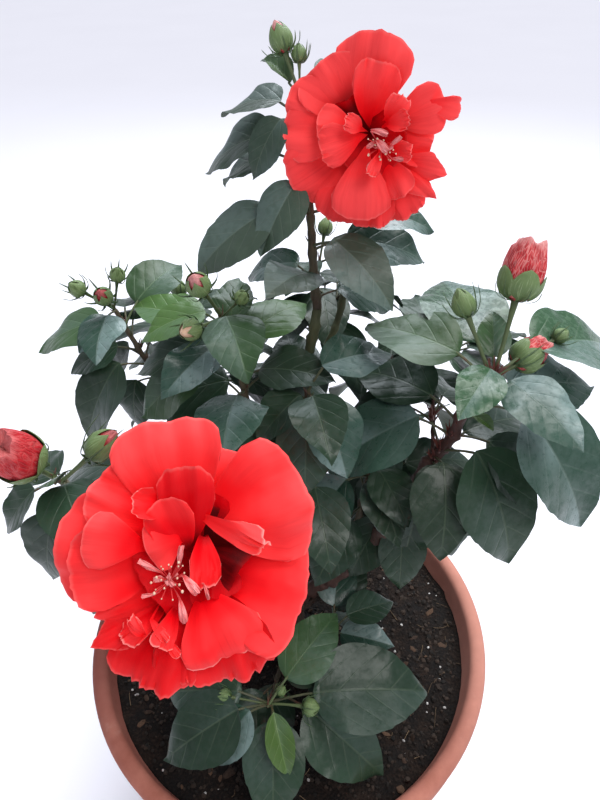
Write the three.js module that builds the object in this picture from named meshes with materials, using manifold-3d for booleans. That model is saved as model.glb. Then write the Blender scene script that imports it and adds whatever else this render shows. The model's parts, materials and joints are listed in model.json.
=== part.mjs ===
// Potted hibiscus shrub
// A young double-flowered hibiscus in a round clay pot, in millimetres with +Z up.
// The origin is the middle of the pot's flat underside. The two blooms face -Y.
// A heading is a compass angle in degrees, 0 along +X and 90 along +Y, and a rise is
// an angle over the level. Leaves, petals and buds are listed by such angles.
import * as THREE from 'three';
import { mergeVertices } from 'three/addons/utils/BufferGeometryUtils.js';
import Module from 'manifold-3d';

const wasm = await Module();
wasm.setup();

// Driving sizes
const GAP = 0.3;
const FINEST = 0.02;
const POT = {
  height: 330, rim: 190, mouth: 175, foot: 132, wall: 15, floor: 18, soilDepth: 25, soilRim: 171,
  bandHeight: 44, bandStep: 7, bandSlope: 4, rimDraft: 3, rounding: 6, roundingCut: 1.8, footCut: 3,
  segments: 36,
};
const SOIL_LEVEL = POT.height - POT.soilDepth;
const TRUNK = { height: 68, radii: [12.5, 10], flare: { radius: 8, height: 20 }, lean: [3, 8],
sides: 12 };
const LIMB = { sides: 6, steps: 4, sampleStep: 6, clearance: 1 };
const STEM = { tip: 1.8, fromTrunk: 3.6, clearance: 3 };
const TWIG = { first: 0.25, spacing: 0.35, length: 48, radii: [2.4, 1.5], rise: [35, 20], sag: 3 };
const LEAF = {
  width: 0.68, shoulder: 0.5, taper: 0.75, widest: 0.43, fold: 0.16, arch: 0.07, thickness: 0.9,
  petiole: 0.36, petioleRadius: 1.2, sunkLength: 3.5, rings: [0.24, 0.7],
  samplesAlong: 10, samplesAcross: 3, clearance: 8,
};
const FILLING = {
  firstRoot: 0.15, early: 0.7, rise: [20, 35], dip: [-50, 45], dipSpread: 20, size: [0.92, 0.16],
  turns: [0, 35, -35, 70, -70, 110], headingSpread: 30, seedTurn: 31,
};
const BUD = {
  fullness: 1.12, narrowing: 0.3, stalkRadii: [1.5, 1.2], sunk: 0.2, samples: 6, firstSample: 0.4,
};
const PETAL = {
  thickness: 0.7, start: 6, baseRise: 62, shoulder: 0.7, tipPower: 5, widest: 0.714,
  cup: 0.12, overlap: 0.16, ruffle: 4, samplesAlong: 6, samplesAcross: 2, clearance: 9,
};
const CALYX = { length: 23, sunk: 4, radii: [5, 9], twigEnd: 16 };
const TUFT = { sunk: 2, height: 18, radii: [12, 9] };
const BLOOM_TWIG = { radii: [3, 2], back: 10, rise: 6, steps: 5, clearance: 4 };
const SAME_NODE_SHARE = 0.5;
const GOLDEN_ANGLE = 137.5;
const DEG = Math.PI / 180;
const TINY = 1e-6;

const FINISH = {
  clay: { color: 0xb9705c, roughness: 0.8 },
  compost: { color: 0x2b1f1b, roughness: 0.95 },
  bark: { color: 0x5d4a3c, roughness: 0.85 },
  foliage: { color: 0x35543f, roughness: 0.45 },
  petals: { color: 0xe8322e, roughness: 0.6 },
};

// Vectors
const vec = (x, y, z) => new THREE.Vector3(x, y, z);
const UP = vec(0, 0, 1);

function towards(heading, rise) {
  const level = Math.cos(rise * DEG);
  return vec(Math.cos(heading * DEG) * level, Math.sin(heading * DEG) * level, Math.sin(rise * DEG));
}

function along(start, direction, distance) {
  return start.clone().addScaledVector(direction, distance);
}

function squareTo(direction, reference) {
  return along(reference, direction, -reference.dot(direction)).normalize();
}

// A repeatable run of numbers between 0 and 1
function seeded(seed) {
  let state = seed;
  return () => {
    state = (Math.imul(state, 1664525) + 1013904223) >>> 0;
    return state / 4294967296;
  };
}

// Solids
function reshape(geometry, place) {
  const points = geometry.attributes.position;
  for (let i = 0; i < points.count; i += 1) {
    const p = place(points.getX(i), points.getY(i), points.getZ(i));
    points.setXYZ(i, p.x, p.y, p.z);
  }
  return geometry;
}

function toSolid(geometry) {
  geometry.deleteAttribute('normal');
  geometry.deleteAttribute('uv');
  const merged = mergeVertices(geometry, 1e-3);
  return new wasm.Manifold(new wasm.Mesh({
    numProp: 3,
    vertProperties: Float32Array.from(merged.attributes.position.array),
    triVerts: Uint32Array.from(merged.index.array),
  }));
}

// The largest body of a solid, without the scraps and slivers that a cut leaves
function wholeBody(solid) {
  return solid.simplify(FINEST).decompose().reduce((a, b) => (b.volume() > a.volume() ? b : a));
}

function toGeometry(solid) {
  const mesh = solid.getMesh();
  const geometry = new THREE.BufferGeometry();
  geometry.setAttribute('position', new THREE.BufferAttribute(mesh.vertProperties, mesh.numProp));
  geometry.setIndex(new THREE.BufferAttribute(mesh.triVerts, 1));
  geometry.computeVertexNormals();
  return geometry;
}

// A round limb that bends evenly from its start, by its bow, to its tip
class Limb {
  constructor({
    start, tip, bow = [0, 0, 0], radii, flare = null, sides = LIMB.sides, steps = LIMB.steps,
  }) {
    this.start = start.clone();
    this.tip = vec(...tip);
    this.middle = this.start.clone().add(this.tip).multiplyScalar(0.5).addScaledVector(vec(...bow), 2);
    this.radii = radii;
    this.flare = flare;
    this.sides = sides;
    this.steps = steps;
    this.length = this.start.distanceTo(this.tip);
    const chord = this.tip.clone().sub(this.start).normalize();
    this.reference = Math.abs(chord.z) > 0.7 ? vec(1, 0, 0) : UP;
  }

  point(t) {
    return this.start.clone().multiplyScalar((1 - t) * (1 - t))
      .addScaledVector(this.middle, 2 * t * (1 - t)).addScaledVector(this.tip, t * t);
  }

  direction(t) {
    const first = this.middle.clone().sub(this.start).multiplyScalar(1 - t);
    return first.addScaledVector(this.tip.clone().sub(this.middle), t).normalize();
  }

  radius(t) {
    const flare = this.flare ? this.flare.radius * Math.exp(-t * this.length / this.flare.height) : 0;
    return this.radii[0] + (this.radii[1] - this.radii[0]) * t + flare;
  }

  // The limb's solid, or with a clearance the room that its neighbours leave it
  solid(clearance = 0) {
    const geometry = new THREE.CylinderGeometry(1, 1, 1, this.sides, this.steps);
    return toSolid(reshape(geometry, (x, y, z) => {
      const t = y + 0.5;
      const direction = this.direction(t);
      const side = squareTo(direction, this.reference);
      const radius = this.radius(t) + clearance;
      return along(this.point(t), direction, 2 * y * clearance)
        .addScaledVector(side, x * radius)
        .addScaledVector(side.clone().cross(direction), z * radius);
    }));
  }

  samples() {
    const count = Math.ceil(this.length / LIMB.sampleStep);
    return Array.from({ length: count + 1 }, (_, i) => this.point(i / count));
  }
}

// A leaf: a petiole that leaves a twig, and a pointed blade that is folded along its midrib.
// Its face is turned up, and towards -Y by the lean.
class Leaf {
  constructor(root, { heading, rise, dip, length, lean }) {
    this.root = root;
    this.length = length;
    this.base = along(root, towards(heading, rise), LEAF.petiole * length);
    this.forward = towards(heading, dip);
    this.face = squareTo(this.forward, vec(0, -lean, 1).normalize());
    this.across = this.forward.clone().cross(this.face);
  }

  halfWidth(s) {
    return LEAF.width / 2 * this.length * s ** LEAF.shoulder * (1 - s) ** LEAF.taper / LEAF.widest;
  }

  // A point of the blade, s of the way to the tip and q of the way from midrib to edge
  point(s, q, lift = 0) {
    const width = this.halfWidth(s);
    const height = LEAF.arch * this.length * 4 * s * (1 - s) + LEAF.fold * Math.abs(q) * width + lift;
    return along(this.base, this.forward, s * this.length)
      .addScaledVector(this.face, height).addScaledVector(this.across, q * width);
  }

  // One closed skin: a four-sided petiole that opens into the blade
  solids() {
    const { petioleRadius, sunkLength, thickness, rings } = LEAF;
    const stalk = this.base.clone().sub(this.root).normalize();
    const stalkSide = stalk.clone().cross(UP).normalize();
    const stalkTop = stalkSide.clone().cross(stalk);
    const skin = new THREE.SphereGeometry(1, 4, rings.length + 3);
    return [toSolid(reshape(skin, (x, y, z) => {
      const ring = Math.round((rings.length + 3) * (1 - Math.acos(y) / Math.PI));
      const side = Math.abs(x) < TINY ? 0 : Math.sign(x);
      const top = Math.abs(z) < TINY ? 0 : Math.sign(z);
      if (ring === 0) {
        return this.root;
      }
      if (ring === 1) {
        return along(this.root, stalk, sunkLength)
          .addScaledVector(stalkSide, side * petioleRadius)
          .addScaledVector(stalkTop, top * petioleRadius);
      }
      if (ring === 2) {
        return along(this.base, this.across, side * petioleRadius)
          .addScaledVector(this.face, top * petioleRadius);
      }
      if (ring === rings.length + 3) {
        return this.point(1, 0);
      }
      return this.point(rings[ring - 3], side, top * thickness);
    }))];
  }

  samples() {
    const points = [];
    for (let i = 1; i <= LEAF.samplesAlong; i += 1) {
      for (let j = -LEAF.samplesAcross; j <= LEAF.samplesAcross; j += 1) {
        points.push(this.point(i / LEAF.samplesAlong, j / LEAF.samplesAcross));
      }
    }
    return points;
  }
}

// A flower bud on its stalk
class Bud {
  constructor(root, { heading, rise, stalk, length, width }) {
    this.root = root;
    this.forward = towards(heading, rise);
    this.stalk = stalk;
    this.length = length;
    this.width = width;
    this.side = squareTo(this.forward, vec(0.2, 0.3, 0.9).normalize());
    this.across = this.forward.clone().cross(this.side);
  }

  solids() {
    const start = this.stalk - this.length / 2;
    const body = reshape(new THREE.SphereGeometry(1, 6, 4), (x, y, z) => {
      const s = (1 + y) / 2;
      const fullness = this.width / 2 * (BUD.fullness - BUD.narrowing * s);
      return along(this.root, this.forward, start + s * this.length)
        .addScaledVector(this.across, x * fullness).addScaledVector(this.side, z * fullness);
    });
    const stalk = new Limb({
      start: this.root, tip: along(this.root, this.forward, start + this.length * BUD.sunk).toArray(),
      radii: BUD.stalkRadii, sides: 3, steps: 1,
    });
    return [toSolid(body), stalk.solid()];
  }

  samples() {
    const first = this.stalk * BUD.firstSample;
    const last = this.stalk + this.length / 2;
    return Array.from({ length: BUD.samples }, (_, i) => (
      along(this.root, this.forward, first + (last - first) * i / (BUD.samples - 1))));
  }
}

// A petal: it leaves the bloom's heart steeply and bends outward to its own rise
class Petal {
  constructor(bloom, { angle, reach, width, rise, wave }) {
    this.bloom = bloom;
    this.out = bloom.right.clone().multiplyScalar(Math.cos(angle * DEG))
      .addScaledVector(bloom.top, Math.sin(angle * DEG));
    this.across = this.out.clone().cross(bloom.axis);
    this.width = width;
    this.wave = wave;
    this.first = PETAL.baseRise * DEG;
    this.bend = rise * DEG - this.first;
    this.length = (reach - PETAL.start) * this.bend
      / (Math.sin(this.first + this.bend) - Math.sin(this.first));
  }

  halfWidth(s) {
    return this.width / 2 * s ** PETAL.shoulder * Math.sqrt(1 - s ** PETAL.tipPower) / PETAL.widest;
  }

  point(s, q, lift = 0) {
    const width = this.halfWidth(s);
    const angle = this.first + this.bend * s;
    const outward = this.length * (Math.sin(angle) - Math.sin(this.first)) / this.bend;
    const upward = this.length * (Math.cos(this.first) - Math.cos(angle)) / this.bend;
    const ruffle = this.wave * s * s * Math.sin(q * PETAL.ruffle + this.wave);
    const cup = (PETAL.cup * q * q + PETAL.overlap * q) * width;
    return along(this.bloom.heart, this.out, PETAL.start + outward)
      .addScaledVector(this.bloom.axis, upward + ruffle + cup + lift)
      .addScaledVector(this.across, q * width);
  }

  solids() {
    const petal = reshape(new THREE.SphereGeometry(1, 6, 5), (x, y, z) => {
      const s = (1 + y) / 2;
      const around = Math.hypot(x, z);
      const lift = Math.abs(z) < TINY ? 0 : Math.sign(z) * PETAL.thickness;
      return this.point(s, around < TINY ? 0 : x / around, lift);
    });
    return [toSolid(petal)];
  }

  samples() {
    const points = [];
    for (let i = 2; i <= PETAL.samplesAlong; i += 1) {
      for (let j = -PETAL.samplesAcross; j <= PETAL.samplesAcross; j += 1) {
        points.push(this.point(i / PETAL.samplesAlong, j / PETAL.samplesAcross));
      }
    }
    return points;
  }
}

// A full bloom on its twig, which ends in a round calyx behind the petals
class Bloom {
  constructor({ bough, heart, heading, rise, petals }) {
    this.heart = vec(...heart);
    this.axis = towards(heading, rise);
    this.right = UP.clone().cross(this.axis).normalize();
    this.top = this.axis.clone().cross(this.right);
    this.petals = petals.map(([angle, reach, width, petalRise, wave]) => (
      new Petal(this, { angle, reach, width, rise: petalRise, wave })));
    const start = along(bough.tip, bough.direction(1), GAP);
    const end = along(this.heart, this.axis, -CALYX.twigEnd);
    const bow = this.axis.clone().multiplyScalar(-BLOOM_TWIG.back)
      .addScaledVector(bough.direction(1), BLOOM_TWIG.rise);
    this.twig = new Limb({
      start, tip: end.toArray(), bow: bow.toArray(), radii: BLOOM_TWIG.radii, steps: BLOOM_TWIG.steps,
    });
  }

  // A ball on the bloom's axis, from one distance to another before the heart
  ball(from, to, radii) {
    return toSolid(reshape(new THREE.SphereGeometry(1, 8, 5), (x, y, z) => {
      const s = (1 + y) / 2;
      const radius = radii[0] + (radii[1] - radii[0]) * s;
      return along(this.heart, this.axis, from + s * (to - from))
        .addScaledVector(this.right, x * radius).addScaledVector(this.top, -z * radius);
    }));
  }

  solids() {
    const calyx = this.ball(-CALYX.length, CALYX.sunk, CALYX.radii);
    const tuft = this.ball(-TUFT.sunk, TUFT.height, TUFT.radii);
    return [this.twig.solid(), calyx, tuft, ...this.petals.flatMap((petal) => petal.solids())];
  }
}

// The space that is already taken, as round samples, each with the node that owns it
class Space {
  constructor() {
    this.taken = [];
  }

  claim(owner, points, radius) {
    const middle = points.reduce((sum, p) => sum.add(p), vec(0, 0, 0)).divideScalar(points.length);
    const extent = Math.max(...points.map((p) => p.distanceTo(middle)));
    this.taken.push({ owner, points, radius, middle, extent });
  }

  // Free of the pot and the soil, and of everything that other nodes have claimed
  isFree(owner, points, radius) {
    return points.every((p) => !meetsPot(p, radius))
      && this.taken.every((thing) => !this.meets(thing, owner, points, radius));
  }

  meets(thing, owner, points, radius) {
    const reach = (thing.radius + radius) * (thing.owner === owner ? SAME_NODE_SHARE : 1);
    return points.some((p) => (
      p.distanceTo(thing.middle) < thing.extent + reach
      && thing.points.some((q) => p.distanceTo(q) < reach)));
  }
}

function meetsPot(p, margin) {
  const fromAxis = Math.hypot(p.x, p.y);
  const overSoil = fromAxis < POT.soilRim - margin && p.z > SOIL_LEVEL + margin;
  const overRim = p.z > POT.height + margin;
  const outside = fromAxis > POT.rim + margin;
  return !(overSoil || overRim || outside);
}

// Clay pot and the compost in it
function turned(profile) {
  const points = profile.map(([radius, height]) => new THREE.Vector2(radius, height));
  const geometry = new THREE.LatheGeometry(points, POT.segments);
  geometry.rotateX(Math.PI / 2);
  return toSolid(geometry);
}

function innerRadius(height) {
  const share = (height - POT.floor) / (SOIL_LEVEL - POT.floor);
  const bottom = POT.foot - POT.wall;
  return bottom + (POT.soilRim - bottom) * share;
}

function potSolid() {
  const { height, rim, mouth, foot, footCut, floor, bandHeight, bandStep, bandSlope, rimDraft } = POT;
  const { rounding, roundingCut } = POT;
  const bandFoot = height - bandHeight;
  const bandOuter = rim - rimDraft;
  return turned([
    [0, 0], [foot - footCut, 0], [foot, footCut],
    [bandOuter - bandStep, bandFoot], [bandOuter, bandFoot + bandSlope],
    [rim, height - rounding], [rim - roundingCut, height - roundingCut], [rim - rounding, height],
    [mouth + rounding, height], [mouth + roundingCut, height - roundingCut], [mouth, height - rounding],
    [POT.soilRim, SOIL_LEVEL], [innerRadius(floor), floor], [0, floor],
  ]);
}

function soilSolid() {
  const bottom = POT.floor + GAP;
  return turned([
    [0, bottom], [innerRadius(bottom) - GAP, bottom], [POT.soilRim - GAP, SOIL_LEVEL], [0, SOIL_LEVEL],
  ]);
}

// Trunk and boughs, each from a place on what carries it
const trunkFoot = vec(0, 0, SOIL_LEVEL + GAP);
const limbs = {
  trunk: new Limb({
    start: trunkFoot, tip: [...TRUNK.lean, trunkFoot.z + TRUNK.height],
    bow: [...TRUNK.lean.map((side) => -side / 4), 0],
    radii: TRUNK.radii, flare: TRUNK.flare, sides: TRUNK.sides, steps: 6,
  }),
};

const BOUGHS = [
  { name: 'leader', from: 'trunk', at: 0.97, tip: [25, 60, 652], bow: [-5, 4, 0], radii: [8, 4.6] },
  {
    name: 'bough_right', from: 'trunk', at: 0.85, tip: [101, -2, 532],
    bow: [8, -4, -14], radii: [7.5, 5.4],
  },
  {
    name: 'bough_mid_left', from: 'trunk', at: 0.92, tip: [-20, 34, 542],
    bow: [-7, 2, -4], radii: [6.5, 4.4],
  },
  {
    name: 'bough_left', from: 'trunk', at: 0.75, tip: [-91, 67, 553],
    bow: [-8, 2, -14], radii: [6.2, 4],
  },
  {
    name: 'bough_front_left', from: 'trunk', at: 0.68, tip: [-86, -58, 530],
    bow: [-10, -4, -12], radii: [5.6, 3.6],
  },
  {
    name: 'bough_lower_bloom', from: 'trunk', at: 0.9, tip: [-46, -62, 560],
    bow: [-9, -10, -6], radii: [5.2, 3.4],
  },
  {
    name: 'bough_upper_bloom', from: 'leader', at: 0.72, tip: [56, 100, 716],
    bow: [8, 5, -4], radii: [3.8, 3.2],
  },
  {
    name: 'bough_centre', from: 'trunk', at: 0.95, tip: [20, 4, 450],
    bow: [3, -2, 0], radii: [5, 3.6],
  },
  {
    name: 'bough_middle', from: 'trunk', at: 0.8, tip: [60, 12, 470],
    bow: [6, 0, -8], radii: [4.6, 3.4],
  },
  {
    name: 'bough_right_low', from: 'trunk', at: 0.5, tip: [74, 18, 440],
    bow: [6, 2, -10], radii: [5, 3.6],
  },
  {
    name: 'bough_left_low', from: 'trunk', at: 0.45, tip: [-62, 8, 425],
    bow: [-6, 0, -10], radii: [4.6, 3.4],
  },
  {
    name: 'bough_back_left', from: 'trunk', at: 0.6, tip: [-58, 100, 480],
    bow: [-4, 8, -12], radii: [5.6, 3.8],
  },
  {
    name: 'bough_back', from: 'leader', at: 0.3, tip: [22, 122, 540],
    bow: [0, 6, -8], radii: [4.6, 3.6],
  },
  {
    name: 'bough_back_right', from: 'trunk', at: 0.7, tip: [84, 92, 490],
    bow: [4, 6, -14], radii: [5.6, 3.8],
  },
];
for (const { name, from, at, tip, bow, radii } of BOUGHS) {
  limbs[name] = new Limb({ start: limbs[from].point(at), tip, bow, radii });
}

// Blooms, with a row of [angle, reach, width, rise, wave] for each petal, seen from the front
const BLOOMS = [
  {
    name: 'bloom_lower', bough: 'bough_lower_bloom', heart: [-44, -126, 620], heading: 286, rise: 50,
    petals: [
      [101, 65, 50, 2, 2], [42, 68, 54, -4, 1.4], [-26, 58, 52, -2, 2.4], [-69, 60, 44, 0, 2],
      [-110, 60, 44, -4, 3], [-145, 60, 38, 0, 2.4], [173, 60, 42, 4, 2], [141, 52, 36, 8, 2],
      [-72, 48, 38, 22, 1.5], [168, 42, 28, 28, 2], [120, 34, 28, 36, 2.4], [20, 34, 26, 34, 2],
    ],
  },
  {
    name: 'bloom_upper', bough: 'bough_upper_bloom', heart: [58, 76, 767], heading: 263, rise: 14,
    petals: [
      [95, 52, 52, 2, 2], [24, 50, 38, 6, 3], [-35, 48, 34, -2, 2], [-80, 55, 50, 0, 2],
      [-123, 55, 44, -2, 2.4], [177, 50, 40, 4, 2], [145, 47, 36, 0, 1.4], [-103, 44, 34, 22, 1.5],
      [-158, 32, 28, 32, 2], [125, 26, 26, 38, 2], [-5, 26, 24, 36, 2],
    ],
  },
];

// Foliage masses. A leaf is [at, heading, rise, dip, length] and a bud is
// [at, heading, rise, stalk, length, width], where at is the share of the way up the stem.
// The rest of a mass grows by rule: side twigs, and leaves that are turned until they are free.
const MASSES = [
  {
    name: 'foliage_crown', bough: 'leader', tip: [13, 80, 792], lean: 0.35, seed: 9, reach: 130,
    leaves: [
      [0.96, 130, 40, 10, 30], [0.87, 148, 35, -15, 50], [0.86, 200, 20, -58, 40],
      [0.68, 152, 20, -30, 56],
      [0.78, 155, 10, -30, 64], [0.53, 224, 57, -49, 52], [0.53, 194, -5, -35, 68],
      [0.12, 242, 52, 10, 55],
      [0.14, 152, 40, -25, 50], [0.32, 314, 30, -26, 62], [0.3, 10, 15, -20, 66], [0.48, 5, 8, -17, 66],
      [0.05, 9, 25, -30, 46],
    ],
    buds: [[0.98, 136, 61, 32, 19, 13], [0.99, 90, 71, 20, 11, 8]],
    leafCount: 5, length: [60, 46], twigs: 0,
  },
  {
    name: 'foliage_right', bough: 'bough_right', tip: [137, -10, 643], lean: 0.3, seed: 13, reach: 150,
    leaves: [
      [0.94, 140, 30, -7, 76], [0.96, 96, 18, 0, 88], [1, 87, 37, 31, 34], [1, 233, 50, -14, 45],
      [1, 25, 27, -15, 86], [0.77, 15, 23, -12, 72], [0.77, 322, 20, -52, 98], [0.35, 312, 36, -56, 92],
      [0.33, 30, 24, -12, 68], [0.66, 334, 40, -34, 18], [0.5, 341, 5, -52, 70], [0.49, 177, 36, -43, 86],
      [0.24, 265, 40, -54, 47], [0.6, 134, 24, -11, 74],
    ],
    buds: [
      [1, 65, 61, 67, 38, 23], [0.98, 133, 54, 53, 20, 14], [0.94, 27, 23, 34, 26, 18],
      [0.95, 23, 24, 56, 12, 9],
    ],
    leafCount: 3, length: [80, 60], twigs: 1,
  },
  {
    name: 'foliage_mid_left', bough: 'bough_mid_left', tip: [-44, 44, 662], lean: 0.2, seed: 70,
    reach: 120,
    leaves: [
      [0.8, 157, 23, 0, 59], [0.64, 44, 53, 1, 62], [0.77, 86, 38, 15, 46], [0.6, 191, 19, -43, 70],
      [0.42, 265, 35, 8, 76], [0.42, 15, 44, -32, 64], [0.5, 343, 44, 2, 58], [0.32, 177, 60, -28, 75],
      [0.76, 305, 37, 5, 22], [0.65, 160, 22, 5, 29],
    ],
    buds: [[0.97, 255, 53, 48, 21, 15], [0.94, 240, 15, 35, 18, 14], [0.94, 316, 47, 36, 12, 9]],
    leafCount: 3, length: [72, 58], twigs: 0,
  },
  {
    name: 'foliage_left', bough: 'bough_left', tip: [-132, 86, 640], lean: 0.25, seed: 49, reach: 110,
    leaves: [
      [0.81, 61, 37, 7, 59], [0.75, 182, 30, -23, 62], [0.87, 245, 38, -10, 39], [0.57, 187, 23, -30, 50],
      [0.47, 170, 48, -65, 49], [0.43, 214, 28, -55, 75], [0.31, 208, 12, -80, 50],
      [0.5, 85, 34, -75, 41],
    ],
    buds: [[0.97, 242, 48, 44, 15, 11], [0.97, 273, 49, 30, 18, 13], [0.97, 313, 62, 42, 13, 10]],
    leafCount: 5, length: [70, 52], twigs: 1,
  },
  {
    name: 'foliage_front_left', bough: 'bough_front_left', tip: [-122, -92, 640], lean: 0.2,
    seed: 35, reach: 105,
    leaves: [[0.8, 233, 0, -70, 50], [1, 300, 20, 45, 31], [0.95, 205, 0, -50, 36]],
    buds: [[0.99, 259, 62, 41, 32, 21], [0.94, 8, 42, 37, 24, 15]],
    leafCount: 3, length: [66, 50], twigs: 1,
  },
  {
    name: 'foliage_front_low', bough: 'trunk', start: [-1, -12, 318], tip: [-15, -106, 388],
    bow: [0, 4, -10], lean: 0.2, seed: 43, reach: 130,
    leaves: [
      [0.98, 202, 32, -29, 76], [0.98, 215, 36, -45, 57], [0.85, 273, 21, -42, 74],
      [0.94, 287, 39, -50, 48],
      [0.8, 329, 14, -38, 92], [0.95, 5, 15, -9, 100], [1, 49, 28, 8, 69], [0.97, 170, 32, -22, 72],
    ],
    buds: [[0.98, 178, 21, 37, 12, 10], [0.95, 25, 43, 15, 9, 7], [0.97, 350, 12, 35, 14, 13]],
    leafCount: 2, length: [70, 60], twigs: 0,
  },
  {
    name: 'foliage_front_right', bough: 'trunk', start: [15, -12, 332], tip: [46, -40, 388],
    lean: 0.2, seed: 54, reach: 100,
    leaves: [[0.6, 57, 10, 30, 57], [0.5, 343, 12, 0, 50], [0.8, 83, 20, 15, 54]],
    buds: [],
    leafCount: 2, length: [60, 52], twigs: 0,
  },
  {
    name: 'foliage_centre', bough: 'bough_centre', tip: [18, 14, 612], lean: 0.3, seed: 54, reach: 115,
    leaves: [
      [1, 28, 60, -8, 60], [0.95, 302, 37, -58, 60], [0.9, 206, 70, -40, 48], [0.86, 265, 48, -62, 60],
      [0.92, 104, 32, 10, 54],
    ],
    buds: [],
    leafCount: 9, length: [68, 58], twigs: 2,
  },
  {
    name: 'foliage_right_low', bough: 'bough_right_low', tip: [116, 20, 500], lean: 0.3, seed: 32,
    reach: 110,
    leaves: [
      [1, 299, 60, -64, 72], [0.59, 263, 20, -60, 60], [0.92, 249, 72, -62, 74], [0.98, 184, 35, -72, 78],
      [0.4, 224, 40, -50, 58],
    ],
    buds: [],
    leafCount: 4, length: [76, 62], twigs: 1,
  },
  {
    name: 'foliage_middle', bough: 'bough_middle', tip: [68, 10, 548], lean: 0.3, seed: 19, reach: 90,
    leaves: [[0.75, 210, 20, -50, 64], [0.7, 300, 10, -62, 46]],
    buds: [],
    leafCount: 6, length: [64, 52], twigs: 0,
  },
  {
    name: 'foliage_left_low', bough: 'bough_left_low', tip: [-104, 14, 486], lean: 0.1, seed: 47,
    reach: 105,
    leaves: [], buds: [],
    leafCount: 10, length: [80, 60], twigs: 1,
  },
  {
    name: 'foliage_back_left', bough: 'bough_back_left', tip: [-92, 142, 592], lean: -0.2,
    seed: 16, reach: 120,
    leaves: [], buds: [[0.98, 100, 60, 30, 16, 12]],
    leafCount: 10, length: [80, 54], twigs: 2,
  },
  {
    name: 'foliage_back', bough: 'bough_back', tip: [30, 160, 640], lean: -0.3, seed: 17, reach: 120,
    leaves: [], buds: [[0.98, 70, 60, 30, 16, 12]],
    leafCount: 10, length: [78, 52], twigs: 2,
  },
  {
    name: 'foliage_back_right', bough: 'bough_back_right', tip: [128, 126, 590], lean: -0.2,
    seed: 23, reach: 125,
    leaves: [], buds: [[0.98, 40, 55, 30, 16, 12]],
    leafCount: 10, length: [82, 56], twigs: 2,
  },
];

const space = new Space();
for (const [name, limb] of Object.entries(limbs)) {
  space.claim(name, limb.samples(), limb.radii[0] + LIMB.clearance);
}

const blooms = BLOOMS.map((given) => (
  { name: given.name, bloom: new Bloom({ ...given, bough: limbs[given.bough] }) }));
for (const { name, bloom } of blooms) {
  space.claim(name, bloom.twig.samples(), BLOOM_TWIG.clearance);
  for (const petal of bloom.petals) {
    space.claim(name, petal.samples(), PETAL.clearance / 2);
  }
}

function massStem({ bough, start, tip, bow }) {
  const limb = limbs[bough];
  const from = start ? vec(...start) : along(limb.tip, limb.direction(1), GAP);
  return new Limb({ start: from, tip, bow, radii: [start ? STEM.fromTrunk : limb.radii[1], STEM.tip] });
}

// The leaves and buds that the mass is known by
function leadingParts(mass) {
  const leaves = mass.leaves.map(([at, heading, rise, dip, length]) => (
    new Leaf(mass.stem.point(at), { heading, rise, dip, length, lean: mass.lean })));
  const buds = mass.buds.map(([at, heading, rise, stalk, length, width]) => (
    new Bud(mass.stem.point(at), { heading, rise, stalk, length, width })));
  for (const part of [...leaves, ...buds]) {
    space.claim(mass.name, part.samples(), LEAF.clearance / 2);
  }
  return { leaves, buds };
}

function sideTwigs(mass, random) {
  const twigs = [];
  for (let i = 0; i < mass.twigs; i += 1) {
    const start = mass.stem.point(TWIG.first + TWIG.spacing * i);
    const heading = random() * 360 + i * GOLDEN_ANGLE;
    const tip = along(start, towards(heading, TWIG.rise[0] + TWIG.rise[1] * random()), TWIG.length);
    const twig = new Limb({
      start, tip: tip.toArray(), bow: [0, 0, -TWIG.sag], radii: TWIG.radii, sides: 5, steps: 3,
    });
    if (space.isFree(mass.name, twig.samples().slice(2), TWIG.radii[0])) {
      twigs.push(twig);
      space.claim(mass.name, twig.samples(), TWIG.radii[0]);
    }
  }
  return twigs;
}

function fillingLeaves(mass, twigs, random) {
  const leaves = [];
  for (let i = 0; i < mass.leafCount; i += 1) {
    const twig = twigs[i % twigs.length];
    const share = (i + FILLING.early) / mass.leafCount;
    const root = twig.point(FILLING.firstRoot + (1 - FILLING.firstRoot) * share);
    const heading = mass.seed * FILLING.seedTurn + i * GOLDEN_ANGLE + FILLING.headingSpread * random();
    const size = mass.length[0] + (mass.length[1] - mass.length[0]) * share;
    const shape = {
      lean: mass.lean,
      rise: FILLING.rise[0] + FILLING.rise[1] * random(),
      dip: FILLING.dip[0] + FILLING.dip[1] * share + FILLING.dipSpread * (random() - 0.5),
      length: size * (FILLING.size[0] + FILLING.size[1] * random()),
    };
    for (const turn of FILLING.turns) {
      const leaf = new Leaf(root, { ...shape, heading: heading + turn });
      const inside = leaf.point(1, 0).distanceTo(mass.stem.point(0.5)) < mass.reach;
      if (inside && space.isFree(mass.name, leaf.samples(), LEAF.clearance / 2)) {
        leaves.push(leaf);
        space.claim(mass.name, leaf.samples(), LEAF.clearance / 2);
        break;
      }
    }
  }
  return leaves;
}

const masses = MASSES.map((given) => ({ ...given, stem: massStem(given) }));
for (const mass of masses) {
  space.claim(mass.name, mass.stem.samples().slice(2), STEM.clearance);
  Object.assign(mass, leadingParts(mass));
}
for (const mass of masses) {
  const random = seeded(mass.seed);
  mass.sideTwigs = sideTwigs(mass, random);
  mass.leaves.push(...fillingLeaves(mass, [mass.stem, ...mass.sideTwigs], random));
}

// The object, one named mesh for each piece
const shrub = new THREE.Group();

function addPiece(name, solid, finish) {
  const material = new THREE.MeshStandardMaterial({ ...finish, metalness: 0 });
  const mesh = new THREE.Mesh(toGeometry(wholeBody(solid)), material);
  mesh.name = name;
  shrub.add(mesh);
}

addPiece('pot', potSolid(), FINISH.clay);
addPiece('soil', soilSolid(), FINISH.compost);

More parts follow.
